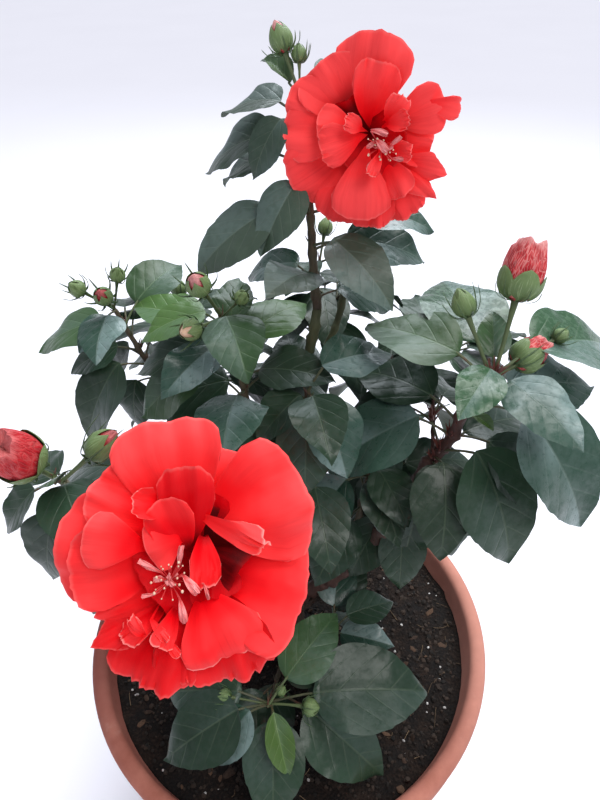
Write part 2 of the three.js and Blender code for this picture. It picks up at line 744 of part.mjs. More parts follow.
const rooms = {};
for (const [name, limb] of Object.entries(limbs)) {
  let solid = limb.solid();
  for (const room of Object.values(rooms)) {
    solid = solid.subtract(room);
  }
  rooms[name] = limb.solid(GAP);
  addPiece(name, solid, FINISH.bark);
}
for (const { name, bloom } of blooms) {
  let solid = wasm.Manifold.union(bloom.solids());
  for (const room of Object.values(rooms)) {
    solid = solid.subtract(room);
  }
  addPiece(name, solid, FINISH.petals);
}
for (const mass of masses) {
  const parts = [...mass.leaves, ...mass.buds].flatMap((part) => part.solids());
  const twigs = mass.sideTwigs.map((twig) => twig.solid());
  let solid = wasm.Manifold.union([mass.stem.solid(), ...twigs, ...parts]);
  for (const room of Object.values(rooms)) {
    solid = solid.subtract(room);
  }
  addPiece(mass.name, solid, FINISH.foliage);
}

export default shrub;
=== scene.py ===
"""Potted double hibiscus in bloom.

The looks of the plant and its pot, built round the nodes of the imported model. Sizes of
the plant are in millimetres, as its growing rule has them, and turn into metres when a
mesh is made. A heading is a compass angle in degrees, 0 along +X and 90 along +Y, and a
rise is an angle over the level.
"""
import json
import logging
import math
from dataclasses import dataclass, field
from enum import Enum
from functools import lru_cache
from typing import Callable, Iterable, Sequence, Union

import bpy
import numpy as np
from mathutils import Matrix, Vector, noise

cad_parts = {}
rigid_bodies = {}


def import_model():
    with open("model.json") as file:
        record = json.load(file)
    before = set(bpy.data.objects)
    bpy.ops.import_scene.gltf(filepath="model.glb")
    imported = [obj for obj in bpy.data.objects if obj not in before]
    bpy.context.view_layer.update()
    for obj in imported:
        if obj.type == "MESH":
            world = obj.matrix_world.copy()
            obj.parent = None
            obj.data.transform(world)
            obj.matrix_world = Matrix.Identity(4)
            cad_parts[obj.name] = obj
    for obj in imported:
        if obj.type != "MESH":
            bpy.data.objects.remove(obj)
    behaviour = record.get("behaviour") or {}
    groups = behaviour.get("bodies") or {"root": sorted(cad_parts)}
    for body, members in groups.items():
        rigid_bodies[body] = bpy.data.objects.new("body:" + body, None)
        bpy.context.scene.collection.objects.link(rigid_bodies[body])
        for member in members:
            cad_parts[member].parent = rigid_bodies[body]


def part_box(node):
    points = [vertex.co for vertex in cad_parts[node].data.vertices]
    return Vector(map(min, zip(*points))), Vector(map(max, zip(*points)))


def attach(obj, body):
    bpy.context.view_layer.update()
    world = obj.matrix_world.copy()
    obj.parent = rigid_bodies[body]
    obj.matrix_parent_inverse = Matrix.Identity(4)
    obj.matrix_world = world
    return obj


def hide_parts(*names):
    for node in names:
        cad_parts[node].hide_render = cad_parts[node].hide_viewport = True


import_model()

LOG = logging.getLogger("hibiscus")
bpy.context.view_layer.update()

MM = 0.001
GAP = 0.3
GOLDEN_ANGLE = 137.5
UP = np.array([0.0, 0.0, 1.0])
POT_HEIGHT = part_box("pot")[1].z / MM
POT_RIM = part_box("pot")[1].x / MM
SOIL_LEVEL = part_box("soil")[1].z / MM
SOIL_RIM = 171.0
SAMPLE_STEP = 6.0
SAME_NODE_SHARE = 0.5
MAP_MARGIN = 0.06

Array = np.ndarray
Number = Union[float, np.ndarray]
Colour = tuple
Thing = bpy.types.Object
Material = bpy.types.Material


class Tone(Enum):
    """How a leaf looks, with the light on it painted into its colour: DARK is painted shade, GREY a painted
    pale sky sheen, GLOSSY real gloss with painted highlight patches and sheen, HAZY the painted haze of light
    from behind; MID is the plain leaf, BRIGHT a lighter green and YOUNG the yellow-green of young leaves.
    """

    DARK = "dark"
    MID = "mid"
    BRIGHT = "bright"
    YOUNG = "young"
    GREY = "grey"
    GLOSSY = "glossy"
    HAZY = "hazy"


class BudKind(Enum):
    """How far a bud has come."""

    GREEN = "green"
    TIPPED = "tipped"
    CREAM = "cream"
    FLUSHED = "flushed"
    OPENING = "opening"
    RUFFLED = "ruffled"


DARK, MID, BRIGHT, YOUNG, GREY, GLOSSY, HAZY = Tone
GREEN, TIPPED, CREAM, FLUSHED, OPENING, RUFFLED = BudKind


# Growing rule
@dataclass(frozen=True)
class LeafRule:
    """Shape of a leaf, as shares of its length, and its stalk in millimetres."""

    width: float = 0.68
    shoulder: float = 0.5
    taper: float = 0.75
    widest: float = 0.43
    fold: float = 0.16
    arch: float = 0.07
    petiole: float = 0.36
    clearance: float = 8.0


@dataclass(frozen=True)
class FillRule:
    """How leaves are dealt out along the twigs of a mass."""

    first_root: float = 0.15
    early: float = 0.7
    late_seed: int = 100
    late_room: float = 1.5
    late_early: float = 0.3
    late_size: float = 0.86
    rise: tuple = (20, 35)
    dip: tuple = (-50, 45)
    dip_spread: float = 20
    size: tuple = (0.92, 0.16)
    turns: tuple = (0, 35, -35, 70, -70, 110)
    heading_spread: float = 30
    seed_turn: float = 31


@dataclass(frozen=True)
class TwigRule:
    """Stems and side twigs of the masses, and the twigs of the blooms."""

    first: float = 0.25
    spacing: float = 0.35
    length: float = 48
    radii: tuple = (2.4, 1.5)
    rise: tuple = (35, 20)
    sag: float = 3
    stem_radii: tuple = (3.6, 1.8)
    stem_room: float = 3
    bloom_radii: tuple = (3, 2)
    bloom_neck: float = 16
    bloom_bow: tuple = (-10, 6)
    bloom_room: float = 4


@dataclass(frozen=True)
class PetalRule:
    """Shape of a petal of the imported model."""

    start: float = 6
    base_rise: float = 62
    shoulder: float = 0.7
    tip_power: float = 5
    widest: float = 0.714
    cup: float = 0.12
    overlap: float = 0.16
    ruffle: float = 4
    clearance: float = 9


LEAF = LeafRule()
FILL = FillRule()
TWIG = TwigRule()
PETAL = PetalRule()


def vec(*values: float) -> Array:
    """A vector of floats."""
    return np.array(values, float)


def unit(vector: Array) -> Array:
    """The vector at length one, along the last axis."""
    return vector / np.linalg.norm(vector, axis=-1, keepdims=True)


def towards(heading: float, rise: float) -> Array:
    """The direction of a heading and a rise."""
    h, r = math.radians(heading), math.radians(rise)
    return vec(math.cos(h) * math.cos(r), math.sin(h) * math.cos(r), math.sin(r))


def square_to(direction: Array, reference: Array) -> Array:
    """The part of the reference that is square to the direction, at length one."""
    return unit(reference - direction * np.sum(direction * reference, -1, keepdims=True))


class Seeded:
    """A repeatable run of numbers between 0 and 1."""

    def __init__(self, seed: int) -> None:
        """Starts the run at a seed."""
        self.state = seed

    def __call__(self) -> float:
        """The next number."""
        self.state = (self.state * 1664525 + 1013904223) & 0xFFFFFFFF
        return self.state / 4294967296


def curve(start: Array, middle: Array, end: Array, t: Number) -> Array:
    """Points of a line that bends from its start by its middle to its end, t of the way along."""
    t = np.asarray(t, float)[..., None]
    return start * (1 - t) ** 2 + middle * 2 * t * (1 - t) + end * t ** 2


class Limb:
    """A limb that bends evenly from its start, by its bow, to its tip."""

    def __init__(self, start: Sequence[float], tip: Sequence[float], radii: Sequence[float],
                 bow: Sequence[float] = (0, 0, 0), flare: tuple = (0.0, 1.0)) -> None:
        """Sets the limb out.

        Args:
            start: where the limb begins.
            tip: where it ends.
            radii: its radius at the start and at the tip.
            bow: how far its middle stands off the straight line.
            flare: extra radius at the foot, and the height over which it fades.
        """
        self.start, self.tip = vec(*start), vec(*tip)
        self.middle = (self.start + self.tip) / 2 + 2 * vec(*bow)
        self.radii, self.flare = radii, flare
        self.length = float(np.linalg.norm(self.tip - self.start))

    def point(self, t: Number) -> Array:
        """The middle of the limb, t of the way along it."""
        return curve(self.start, self.middle, self.tip, t)

    def direction(self, t: Number) -> Array:
        """The way the limb runs, t of the way along it."""
        t = np.asarray(t, float)[..., None]
        return unit((self.middle - self.start) * (1 - t) + (self.tip - self.middle) * t)

    def radius(self, t: Number) -> Array:
        """The limb's radius, t of the way along it."""
        flare = self.flare[0] * np.exp(-np.asarray(t) * self.length / self.flare[1])
        return self.radii[0] + (self.radii[1] - self.radii[0]) * np.asarray(t) + flare

    def samples(self) -> Array:
        """Points along the limb, 6 mm apart or less."""
        count = math.ceil(self.length / SAMPLE_STEP)
        return self.point(np.arange(count + 1) / count)


class Leaf:
    """A leaf: a petiole that leaves a twig, and a pointed blade folded along its midrib."""

    def __init__(self, root: Array, heading: float, rise: float, dip: float,
                 length: float, lean: float, tone: Tone = Tone.DARK) -> None:
        """Sets the leaf out.

        Args:
            root: where the petiole leaves the twig.
            heading: the way the leaf points.
            rise: how steeply the petiole rises.
            dip: how steeply the blade rises, under 0 where it hangs.
            length: length of the blade.
            lean: how far the leaf's face turns towards -Y.
            tone: the look of the leaf.
        """
        self.root, self.length, self.tone = root, length, tone
        self.base = root + towards(heading, rise) * (LEAF.petiole * length)
        self.forward = towards(heading, dip)
        self.face = square_to(self.forward, unit(vec(0, -lean, 1)))
        self.across = np.cross(self.forward, self.face)

    def samples(self) -> Array:
        """Points all over the blade.

        Returns:
            The points, one a row, in millimetres.
        """
        s = np.repeat(np.arange(1, 11) / 10, 7)
        q = np.tile(np.arange(-3, 4) / 3, 10)
        width = LEAF.width / 2 * self.length * s ** LEAF.shoulder * (1 - s) ** LEAF.taper / LEAF.widest
        height = LEAF.arch * self.length * 4 * s * (1 - s) + LEAF.fold * np.abs(q) * width
        return (self.base + (s * self.length)[:, None] * self.forward
                + height[:, None] * self.face + (q * width)[:, None] * self.across)

    def tip(self) -> Array:
        """The point of the blade."""
        return self.base + self.forward * self.length


class Bud:
    """A flower bud on its stalk."""

    def __init__(self, root: Array, heading: float, rise: float, stalk: float,
                 length: float, width: float, kind: BudKind) -> None:
        """Sets the bud out.

        Args:
            root: where the stalk leaves the twig.
            heading: the way the bud points.
            rise: how steeply it rises.
            stalk: distance from the root to the middle of the bud.
            length: length of the bud.
            width: width of the bud.
            kind: how far it has come.
        """
        self.root, self.forward = root, towards(heading, rise)
        self.stalk, self.length, self.width, self.kind = stalk, length, width, kind
        self.side = square_to(self.forward, unit(vec(0.2, 0.3, 0.9)))
        self.across = np.cross(self.forward, self.side)

    def samples(self) -> Array:
        """Points along the bud and the end of its stalk."""
        first, last = self.stalk * 0.4, self.stalk + self.length / 2
        return self.root + (first + (last - first) * np.arange(6) / 5)[:, None] * self.forward


class Petal:
    """A petal: it leaves the bloom's heart steeply and bends outward to its own rise."""

    def __init__(self, bloom: "Bloom", angle: float, reach: float, width: float,
                 rise: float, wave: float) -> None:
        """Sets the petal out.

        Args:
            bloom: the bloom that it belongs to.
            angle: its angle round the bloom's axis, seen from the front.
            reach: how far it reaches from the axis.
            width: its width.
            rise: how steeply it ends.
            wave: height of its ruffle.
        """
        turn = math.radians(angle)
        self.bloom, self.width, self.wave = bloom, width, wave
        self.out = bloom.right * math.cos(turn) + bloom.top * math.sin(turn)
        self.across = np.cross(self.out, bloom.axis)
        self.first = math.radians(PETAL.base_rise)
        self.bend = math.radians(rise) - self.first
        self.length = ((reach - PETAL.start) * self.bend
                       / (math.sin(self.first + self.bend) - math.sin(self.first)))

    def line(self, s: Array) -> tuple:
        """Where the petal's midline is.

        Args:
            s: how far along it the points are.

        Returns:
            How far out and how far forward they are.
        """
        angle = self.first + self.bend * s
        outward = self.length * (np.sin(angle) - math.sin(self.first)) / self.bend
        forward = self.length * (math.cos(self.first) - np.cos(angle)) / self.bend
        return PETAL.start + outward, forward

    def samples(self) -> Array:
        """Points all over the petal.

        Returns:
            The points, one a row, in millimetres.
        """
        s = np.repeat(np.arange(2, 7) / 6, 5)
        q = np.tile(np.arange(-2, 3) / 2, 5)
        width = (self.width / 2 * s ** PETAL.shoulder
                 * np.sqrt(np.clip(1 - s ** PETAL.tip_power, 0, 1)) / PETAL.widest)
        outward, forward = self.line(s)
        ruffle = self.wave * s * s * np.sin(q * PETAL.ruffle + self.wave)
        cup = (PETAL.cup * q * q + PETAL.overlap * q) * width
        return (self.bloom.heart + outward[:, None] * self.out
                + (forward + ruffle + cup)[:, None] * self.bloom.axis
                + (q * width)[:, None] * self.across)


class Bloom:
    """A full bloom on its twig."""

    def __init__(self, name: str, bough: Limb, heart: Sequence[float], heading: float,
                 rise: float, petals: Sequence[Sequence[float]]) -> None:
        """Sets the bloom out.

        Args:
            name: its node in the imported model.
            bough: the bough that its twig goes on from.
            heart: where its petals meet.
            heading: the way its face is turned.
            rise: how far its face is turned up.
            petals: a row of angle, reach, width, rise and wave for each petal.
        """
        self.name, self.heart, self.axis = name, vec(*heart), towards(heading, rise)
        self.right = unit(np.cross(UP, self.axis))
        self.top = np.cross(self.axis, self.right)
        self.frame = np.stack([self.right, self.top, self.axis])
        self.petals = [Petal(self, *row) for row in petals]
        way = bough.direction(1.0)
        self.twig = Limb(bough.tip + way * GAP, self.heart - TWIG.bloom_neck * self.axis,
                         TWIG.bloom_radii, bow=TWIG.bloom_bow[0] * self.axis + TWIG.bloom_bow[1] * way)


class Space:
    """The space that is already taken, as round samples, each with the node that owns it."""

    def __init__(self) -> None:
        """Starts with nothing taken."""
        self.taken: list = []

    def claim(self, owner: str, points: Array, radius: float) -> None:
        """Takes the room round the points for a node.

        Args:
            owner: the node.
            points: its points, one a row.
            radius: how far round each point it reaches, in millimetres.
        """
        middle = points.mean(0)
        extent = float(np.linalg.norm(points - middle, axis=1).max())
        self.taken.append((owner, points, radius, middle, extent))

    def is_free(self, owner: str, points: Array, radius: float) -> bool:
        """Whether the points are free of the pot and of what other nodes have claimed.

        Args:
            owner: the node that asks. It may come nearer to its own parts.
            points: the points that it would fill.
            radius: the room round each.

        Returns:
            True where nothing is in the way.
        """
        if meets_pot(points, radius):
            return False
        low, high = points.min(0), points.max(0)
        for other, places, room, middle, extent in self.taken:
            reach = (room + radius) * (SAME_NODE_SHARE if other == owner else 1)
            if np.any(middle + extent + reach < low) or np.any(middle - extent - reach > high):
                continue
            near = points[np.linalg.norm(points - middle, axis=1) < extent + reach]
            if len(near) and ((near[:, None] - places) ** 2).sum(-1).min() < reach * reach:
                return False
        return True


def meets_pot(points: Array, margin: float) -> bool:
    """Tests points against the pot and the compost.

    Args:
        points: the points.
        margin: the room that each asks for.

    Returns:
        True where any of them comes too near.
    """
    off_axis = np.hypot(points[:, 0], points[:, 1])
    over_soil = (off_axis < SOIL_RIM - margin) & (points[:, 2] > SOIL_LEVEL + margin)
    clear = over_soil | (points[:, 2] > POT_HEIGHT + margin) | (off_axis > POT_RIM + margin)
    return not bool(clear.all())


# Trunk and boughs: name, what carries it, place on that, tip, bow and radii
TRUNK_LEAN = (3, 8)
TRUNK_HEIGHT = 68
TRUNK_RADII = (12.5, 10)
TRUNK_FLARE = (8, 20)
BOUGHS = (
    ("leader", "trunk", 0.97, (25, 60, 652), (-5, 4, 0), (8, 4.6)),
    ("bough_right", "trunk", 0.85, (101, -2, 532), (8, -4, -14), (7.5, 5.4)),
    ("bough_mid_left", "trunk", 0.92, (-20, 34, 542), (-7, 2, -4), (6.5, 4.4)),
    ("bough_left", "trunk", 0.75, (-91, 67, 553), (-8, 2, -14), (6.2, 4)),
    ("bough_front_left", "trunk", 0.68, (-86, -58, 530), (-10, -4, -12), (5.6, 3.6)),
    ("bough_lower_bloom", "trunk", 0.9, (-46, -62, 560), (-9, -10, -6), (5.2, 3.4)),
    ("bough_upper_bloom", "leader", 0.72, (56, 100, 716), (8, 5, -4), (3.8, 3.2)),
    ("bough_centre", "trunk", 0.95, (20, 4, 450), (3, -2, 0), (5, 3.6)),
    ("bough_middle", "trunk", 0.8, (60, 12, 470), (6, 0, -8), (4.6, 3.4)),
    ("bough_right_low", "trunk", 0.5, (74, 18, 440), (6, 2, -10), (5, 3.6)),
    ("bough_left_low", "trunk", 0.45, (-62, 8, 425), (-6, 0, -10), (4.6, 3.4)),
    ("bough_back_left", "trunk", 0.6, (-58, 100, 480), (-4, 8, -12), (5.6, 3.8)),
    ("bough_back", "leader", 0.3, (22, 122, 540), (0, 6, -8), (4.6, 3.6)),
    ("bough_back_right", "trunk", 0.7, (84, 92, 490), (4, 6, -14), (5.6, 3.8)),
)

# Blooms: a row of angle, reach, width, rise and wave for each petal
BLOOMS = (
    ("bloom_lower", "bough_lower_bloom", (-44, -126, 620), 286, 50, (
        (101, 65, 50, 2, 2), (42, 68, 54, -4, 1.4), (-26, 58, 52, -2, 2.4), (-69, 60, 44, 0, 2),
        (-110, 60, 44, -4, 3), (-145, 60, 38, 0, 2.4), (173, 60, 42, 4, 2), (141, 52, 36, 8, 2),
        (-72, 48, 38, 22, 1.5), (168, 42, 28, 28, 2), (120, 34, 28, 36, 2.4), (20, 34, 26, 34, 2))),
    ("bloom_upper", "bough_upper_bloom", (58, 76, 767), 263, 14, (
        (95, 52, 52, 2, 2), (24, 50, 38, 6, 3), (-35, 48, 34, -2, 2), (-80, 55, 50, 0, 2),
        (-123, 55, 44, -2, 2.4), (177, 50, 40, 4, 2), (145, 47, 36, 0, 1.4),
        (-103, 44, 34, 22, 1.5), (-158, 32, 28, 32, 2), (125, 26, 26, 38, 2), (-5, 26, 24, 36, 2))),
)


@dataclass
class Mass:
    """A mass of foliage on its stem.

    Leaves that the mass is known by are rows of place up the stem, heading, rise, dip,
    length and tone. Buds are rows of place, heading, rise, stalk, length, width and kind.
    The last values have the tones of the first leaves that the rule adds, and what the
    plant grows on the mass.
    """

    name: str
    bough: str
    tip: tuple
    lean: float
    seed: int
    reach: float
    count: int
    length: tuple
    twigs: int
    leading: tuple = ()
    budding: tuple = ()
    start: tuple = ()
    bow: tuple = (0, 0, 0)
    infill: int = 6
    filled: tuple = ()
    stem: Limb = None
    side_twigs: list = field(default_factory=list)
    leaves: list = field(default_factory=list)
    buds: list = field(default_factory=list)


MASSES = (
    Mass("foliage_crown", "leader", (13, 80, 792), 0.35, 9, 130, 5, (60, 46), 0, (
        (0.96, 130, 40, 10, 30, YOUNG), (0.87, 148, 35, -15, 50, HAZY), (0.86, 200, 20, -58, 40, HAZY),
        (0.68, 152, 20, -30, 56, HAZY), (0.78, 155, 10, -30, 64, HAZY),
        (0.53, 224, 57, -49, 52, HAZY), (0.53, 194, -5, -35, 68, HAZY), (0.12, 242, 52, 10, 55, HAZY),
        (0.14, 152, 40, -25, 50, GREY), (0.32, 314, 30, -26, 62, HAZY), (0.3, 10, 15, -20, 66, GREY),
        (0.48, 5, 8, -17, 66, GREY), (0.05, 9, 25, -30, 46, GREY)), (
        (0.98, 136, 61, 32, 19, 13, FLUSHED), (0.99, 90, 71, 20, 11, 8, GREEN)),
         infill=0, filled=(HAZY, HAZY, HAZY)),
    Mass("foliage_right", "bough_right", (137, -10, 643), 0.3, 13, 150, 3, (80, 60), 1, (
        (0.94, 140, 30, -7, 76, MID), (0.96, 96, 18, 0, 88, GLOSSY), (1, 87, 37, 31, 34, MID),
        (1, 233, 50, -14, 45, GLOSSY), (1, 25, 27, -15, 86, GLOSSY), (0.77, 15, 23, -12, 72, GREY),
        (0.77, 322, 20, -52, 98, GREY), (0.35, 312, 36, -56, 92, DARK), (0.33, 30, 24, -12, 68, DARK),
        (0.66, 334, 40, -34, 18, YOUNG), (0.5, 341, 5, -52, 70, DARK), (0.49, 177, 36, -43, 86, GREY),
        (0.24, 265, 40, -54, 47, DARK), (0.6, 134, 24, -11, 74, DARK)), (
        (1, 65, 61, 67, 38, 23, OPENING), (0.98, 133, 54, 53, 20, 14, GREEN),
        (0.94, 27, 23, 34, 26, 18, RUFFLED), (0.95, 23, 24, 56, 12, 9, GREEN)),
         infill=2, filled=(DARK, DARK, GREY)),
    Mass("foliage_mid_left", "bough_mid_left", (-44, 44, 662), 0.2, 70, 120, 3, (72, 58), 0, (
        (0.8, 157, 23, 0, 59, BRIGHT), (0.64, 44, 53, 1, 62, BRIGHT), (0.77, 86, 38, 15, 46, MID),
        (0.6, 191, 19, -43, 70, MID), (0.42, 265, 35, 8, 76, GREY), (0.42, 15, 44, -32, 64, DARK),
        (0.5, 343, 44, 2, 58, DARK), (0.32, 177, 60, -28, 75, DARK), (0.76, 305, 37, 5, 22, YOUNG),
        (0.65, 160, 22, 5, 29, YOUNG)), (
        (0.97, 255, 53, 48, 21, 15, TIPPED), (0.94, 240, 15, 35, 18, 14, CREAM),
        (0.94, 316, 47, 36, 12, 9, GREEN)),
         infill=5, filled=(DARK, DARK, MID, DARK, GREY, BRIGHT)),
    Mass("foliage_left", "bough_left", (-132, 86, 640), 0.25, 49, 110, 5, (70, 52), 1, (
        (0.81, 61, 37, 7, 59, MID), (0.75, 182, 30, -23, 62, MID), (0.87, 245, 38, -10, 39, GREY),
        (0.57, 187, 23, -30, 50, DARK), (0.47, 170, 48, -65, 49, DARK), (0.43, 214, 28, -55, 75, DARK),
        (0.31, 208, 12, -80, 50, DARK), (0.5, 85, 34, -75, 41, DARK)), (
        (0.97, 242, 48, 44, 15, 11, GREEN), (0.97, 273, 49, 30, 18, 13, TIPPED),
        (0.97, 313, 62, 42, 13, 10, GREEN)),
         infill=2, filled=(DARK, DARK, DARK, GREY)),
    Mass("foliage_front_left", "bough_front_left", (-122, -92, 640), 0.2, 35, 105, 3, (66, 50), 1, (
        (0.8, 233, 0, -70, 50, DARK), (1, 300, 20, 45, 31, MID), (0.95, 205, 0, -50, 36, DARK)), (
        (0.99, 259, 62, 41, 32, 21, OPENING), (0.94, 8, 42, 37, 24, 15, TIPPED)), infill=3),
    Mass("foliage_front_low", "trunk", (-15, -106, 388), 0.2, 43, 130, 2, (70, 60), 0, (
        (0.98, 202, 32, -29, 76, DARK), (0.98, 215, 36, -45, 57, GREY), (0.85, 273, 21, -42, 74, DARK),
        (0.94, 287, 39, -50, 48, YOUNG), (0.8, 329, 14, -38, 92, DARK), (0.95, 5, 15, -9, 100, DARK),
        (1, 49, 28, 8, 69, MID), (0.97, 170, 32, -22, 72, DARK)), (
        (0.98, 178, 21, 37, 12, 10, GREEN), (0.95, 25, 43, 15, 9, 7, GREEN),
        (0.97, 350, 12, 35, 14, 13, GREEN)), start=(-1, -12, 318), bow=(0, 4, -10), infill=2),
    Mass("foliage_front_right", "trunk", (46, -40, 388), 0.2, 54, 100, 2, (60, 52), 0, (
        (0.6, 57, 10, 30, 57, DARK), (0.5, 343, 12, 0, 50, GREY), (0.8, 83, 20, 15, 54, GREY)),
        start=(15, -12, 332), infill=1),
    Mass("foliage_centre", "bough_centre", (18, 14, 612), 0.3, 54, 115, 9, (68, 58), 2, (
        (1, 28, 60, -8, 60, GREY), (0.95, 302, 37, -58, 60, GREY), (0.9, 206, 70, -40, 48, DARK),
        (0.86, 265, 48, -62, 60, DARK), (0.92, 104, 32, 10, 54, DARK)), infill=12),
    Mass("foliage_right_low", "bough_right_low", (116, 20, 500), 0.3, 32, 110, 4, (76, 62), 1, (
        (1, 299, 60, -64, 72, DARK), (0.59, 263, 20, -60, 60, DARK), (0.92, 249, 72, -62, 74, DARK),
        (0.98, 184, 35, -72, 78, DARK), (0.4, 224, 40, -50, 58, DARK)), infill=8),
    Mass("foliage_middle", "bough_middle", (68, 10, 548), 0.3, 19, 90, 6, (64, 52), 0, (
        (0.75, 210, 20, -50, 64, GREY), (0.7, 300, 10, -62, 46, DARK)), infill=8),
    Mass("foliage_left_low", "bough_left_low", (-104, 14, 486), 0.1, 47, 105, 10, (80, 60), 1,
         infill=8),
    Mass("foliage_back_left", "bough_back_left", (-92, 142, 592), -0.2, 16, 120, 10, (80, 54), 2,
         budding=((0.98, 100, 60, 30, 16, 12, GREEN),), infill=14),
    Mass("foliage_back", "bough_back", (30, 160, 640), -0.3, 17, 120, 10, (78, 52), 2,
         budding=((0.98, 70, 60, 30, 16, 12, GREEN),), infill=14),
    Mass("foliage_back_right", "bough_back_right", (128, 126, 590), -0.2, 23, 125, 10, (82, 56), 2,
         budding=((0.98, 40, 55, 30, 16, 12, GREEN),), infill=14),
)


class Plant:
    """The whole plant as the rule grows it, before anything is modelled."""

    def __init__(self) -> None:
        """Grows limbs, blooms and masses."""
        foot = vec(0, 0, SOIL_LEVEL + GAP)
        self.limbs = {"trunk": Limb(foot, (*TRUNK_LEAN, foot[2] + TRUNK_HEIGHT), TRUNK_RADII,
                                    bow=(-TRUNK_LEAN[0] / 4, -TRUNK_LEAN[1] / 4, 0), flare=TRUNK_FLARE)}
        for name, carrier, at, tip, bow, radii in BOUGHS:
            self.limbs[name] = Limb(self.limbs[carrier].point(at), tip, radii, bow=bow)
        self.space = Space()
        for name, limb in self.limbs.items():
            self.space.claim(name, limb.samples(), limb.radii[0] + 1)
        self.blooms = [Bloom(name, self.limbs[bough], *rest) for name, bough, *rest in BLOOMS]
        for bloom in self.blooms:
            self.space.claim(bloom.name, bloom.twig.samples(), TWIG.bloom_room)
            for petal in bloom.petals:
                self.space.claim(bloom.name, petal.samples(), PETAL.clearance / 2)
        self.masses = [self.lead(mass) for mass in MASSES]
        for mass in self.masses:
            chance = Seeded(mass.seed)
            self.grow_twigs(mass, chance)
            self.fill(mass, chance, mass.count, LEAF.clearance / 2)
        for mass in self.masses:
            self.fill(mass, Seeded(mass.seed + FILL.late_seed), mass.infill, FILL.late_room,
                      FILL.late_early, FILL.late_size)
            for leaf, tone in zip(mass.leaves[len(mass.leading):], mass.filled):
                leaf.tone = tone

    def lead(self, mass: Mass) -> Mass:
        """Gives a mass its stem and the leaves and buds that it is known by.

        Args:
            mass: the mass.

        Returns:
            The same mass.
        """
        limb = self.limbs[mass.bough]
        start = mass.start or limb.tip + limb.direction(1.0) * GAP
        foot_radius = TWIG.stem_radii[0] if mass.start else limb.radii[1]
        mass.stem = Limb(start, mass.tip, (foot_radius, TWIG.stem_radii[1]), bow=mass.bow)
        self.space.claim(mass.name, mass.stem.samples()[2:], TWIG.stem_room)
        mass.leaves = [Leaf(mass.stem.point(at), *shape, mass.lean, tone)
                       for at, *shape, tone in mass.leading]
        mass.buds = [Bud(mass.stem.point(at), *shape) for at, *shape in mass.budding]
        for part in mass.leaves + mass.buds:
            self.space.claim(mass.name, part.samples(), LEAF.clearance / 2)
        return mass

    def grow_twigs(self, mass: Mass, chance: Seeded) -> None:
        """Grows a mass's side twigs where there is room.

        Args:
            mass: the mass.
            chance: its run of numbers.
        """
        for i in range(mass.twigs):
            start = mass.stem.point(TWIG.first + TWIG.spacing * i)
            heading = chance() * 360 + i * GOLDEN_ANGLE
            tip = start + towards(heading, TWIG.rise[0] + TWIG.rise[1] * chance()) * TWIG.length
            twig = Limb(start, tip, TWIG.radii, bow=(0, 0, -TWIG.sag))
            if self.space.is_free(mass.name, twig.samples()[2:], TWIG.radii[0]):
                mass.side_twigs.append(twig)
                self.space.claim(mass.name, twig.samples(), TWIG.radii[0])

    def fill(self, mass: Mass, chance: Seeded, count: int, room: float,
             early: float = FILL.early, size: float = 1.0) -> None:
        """Deals leaves out along the mass's twigs, each turned until it is free.

        Args:
            mass: the mass to fill.
            chance: its run of numbers.
            count: how many leaves to try.
            room: the room that each leaf asks for.
            early: how far the first leaf is from the foot of its twig, in leaves.
            size: the leaves' size against the mass's own.
        """
        twigs = [mass.stem, *mass.side_twigs]
        first = chance.state if size < 1 else mass.seed
        for i in range(count):
            twig, share = twigs[i % len(twigs)], (i + early) / count
            root = twig.point(FILL.first_root + (1 - FILL.first_root) * share)
            heading = first * FILL.seed_turn + i * GOLDEN_ANGLE + FILL.heading_spread * chance()
            length = mass.length[0] + (mass.length[1] - mass.length[0]) * share
            rise = FILL.rise[0] + FILL.rise[1] * chance()
            dip = FILL.dip[0] + FILL.dip[1] * share + FILL.dip_spread * (chance() - 0.5)
            length *= (FILL.size[0] + FILL.size[1] * chance()) * size
            for turn in FILL.turns:
                leaf = Leaf(root, heading + turn, rise, dip, length, mass.lean)
                inside = np.linalg.norm(leaf.tip() - mass.stem.point(0.5)) < mass.reach
                if inside and self.space.is_free(mass.name, leaf.samples(), room):
                    mass.leaves.append(leaf)
                    self.space.claim(mass.name, leaf.samples(), room)
                    break


# Meshes from arrays
@dataclass
class Skin:
    """The faces of a closed shape that many parts of a piece share."""

    size: int
    keep: Array
    quads: Array
    quad_map: Array
    quad_side: Array
    tris: Array
    tri_map: Array
    tri_side: Array
    sides: int


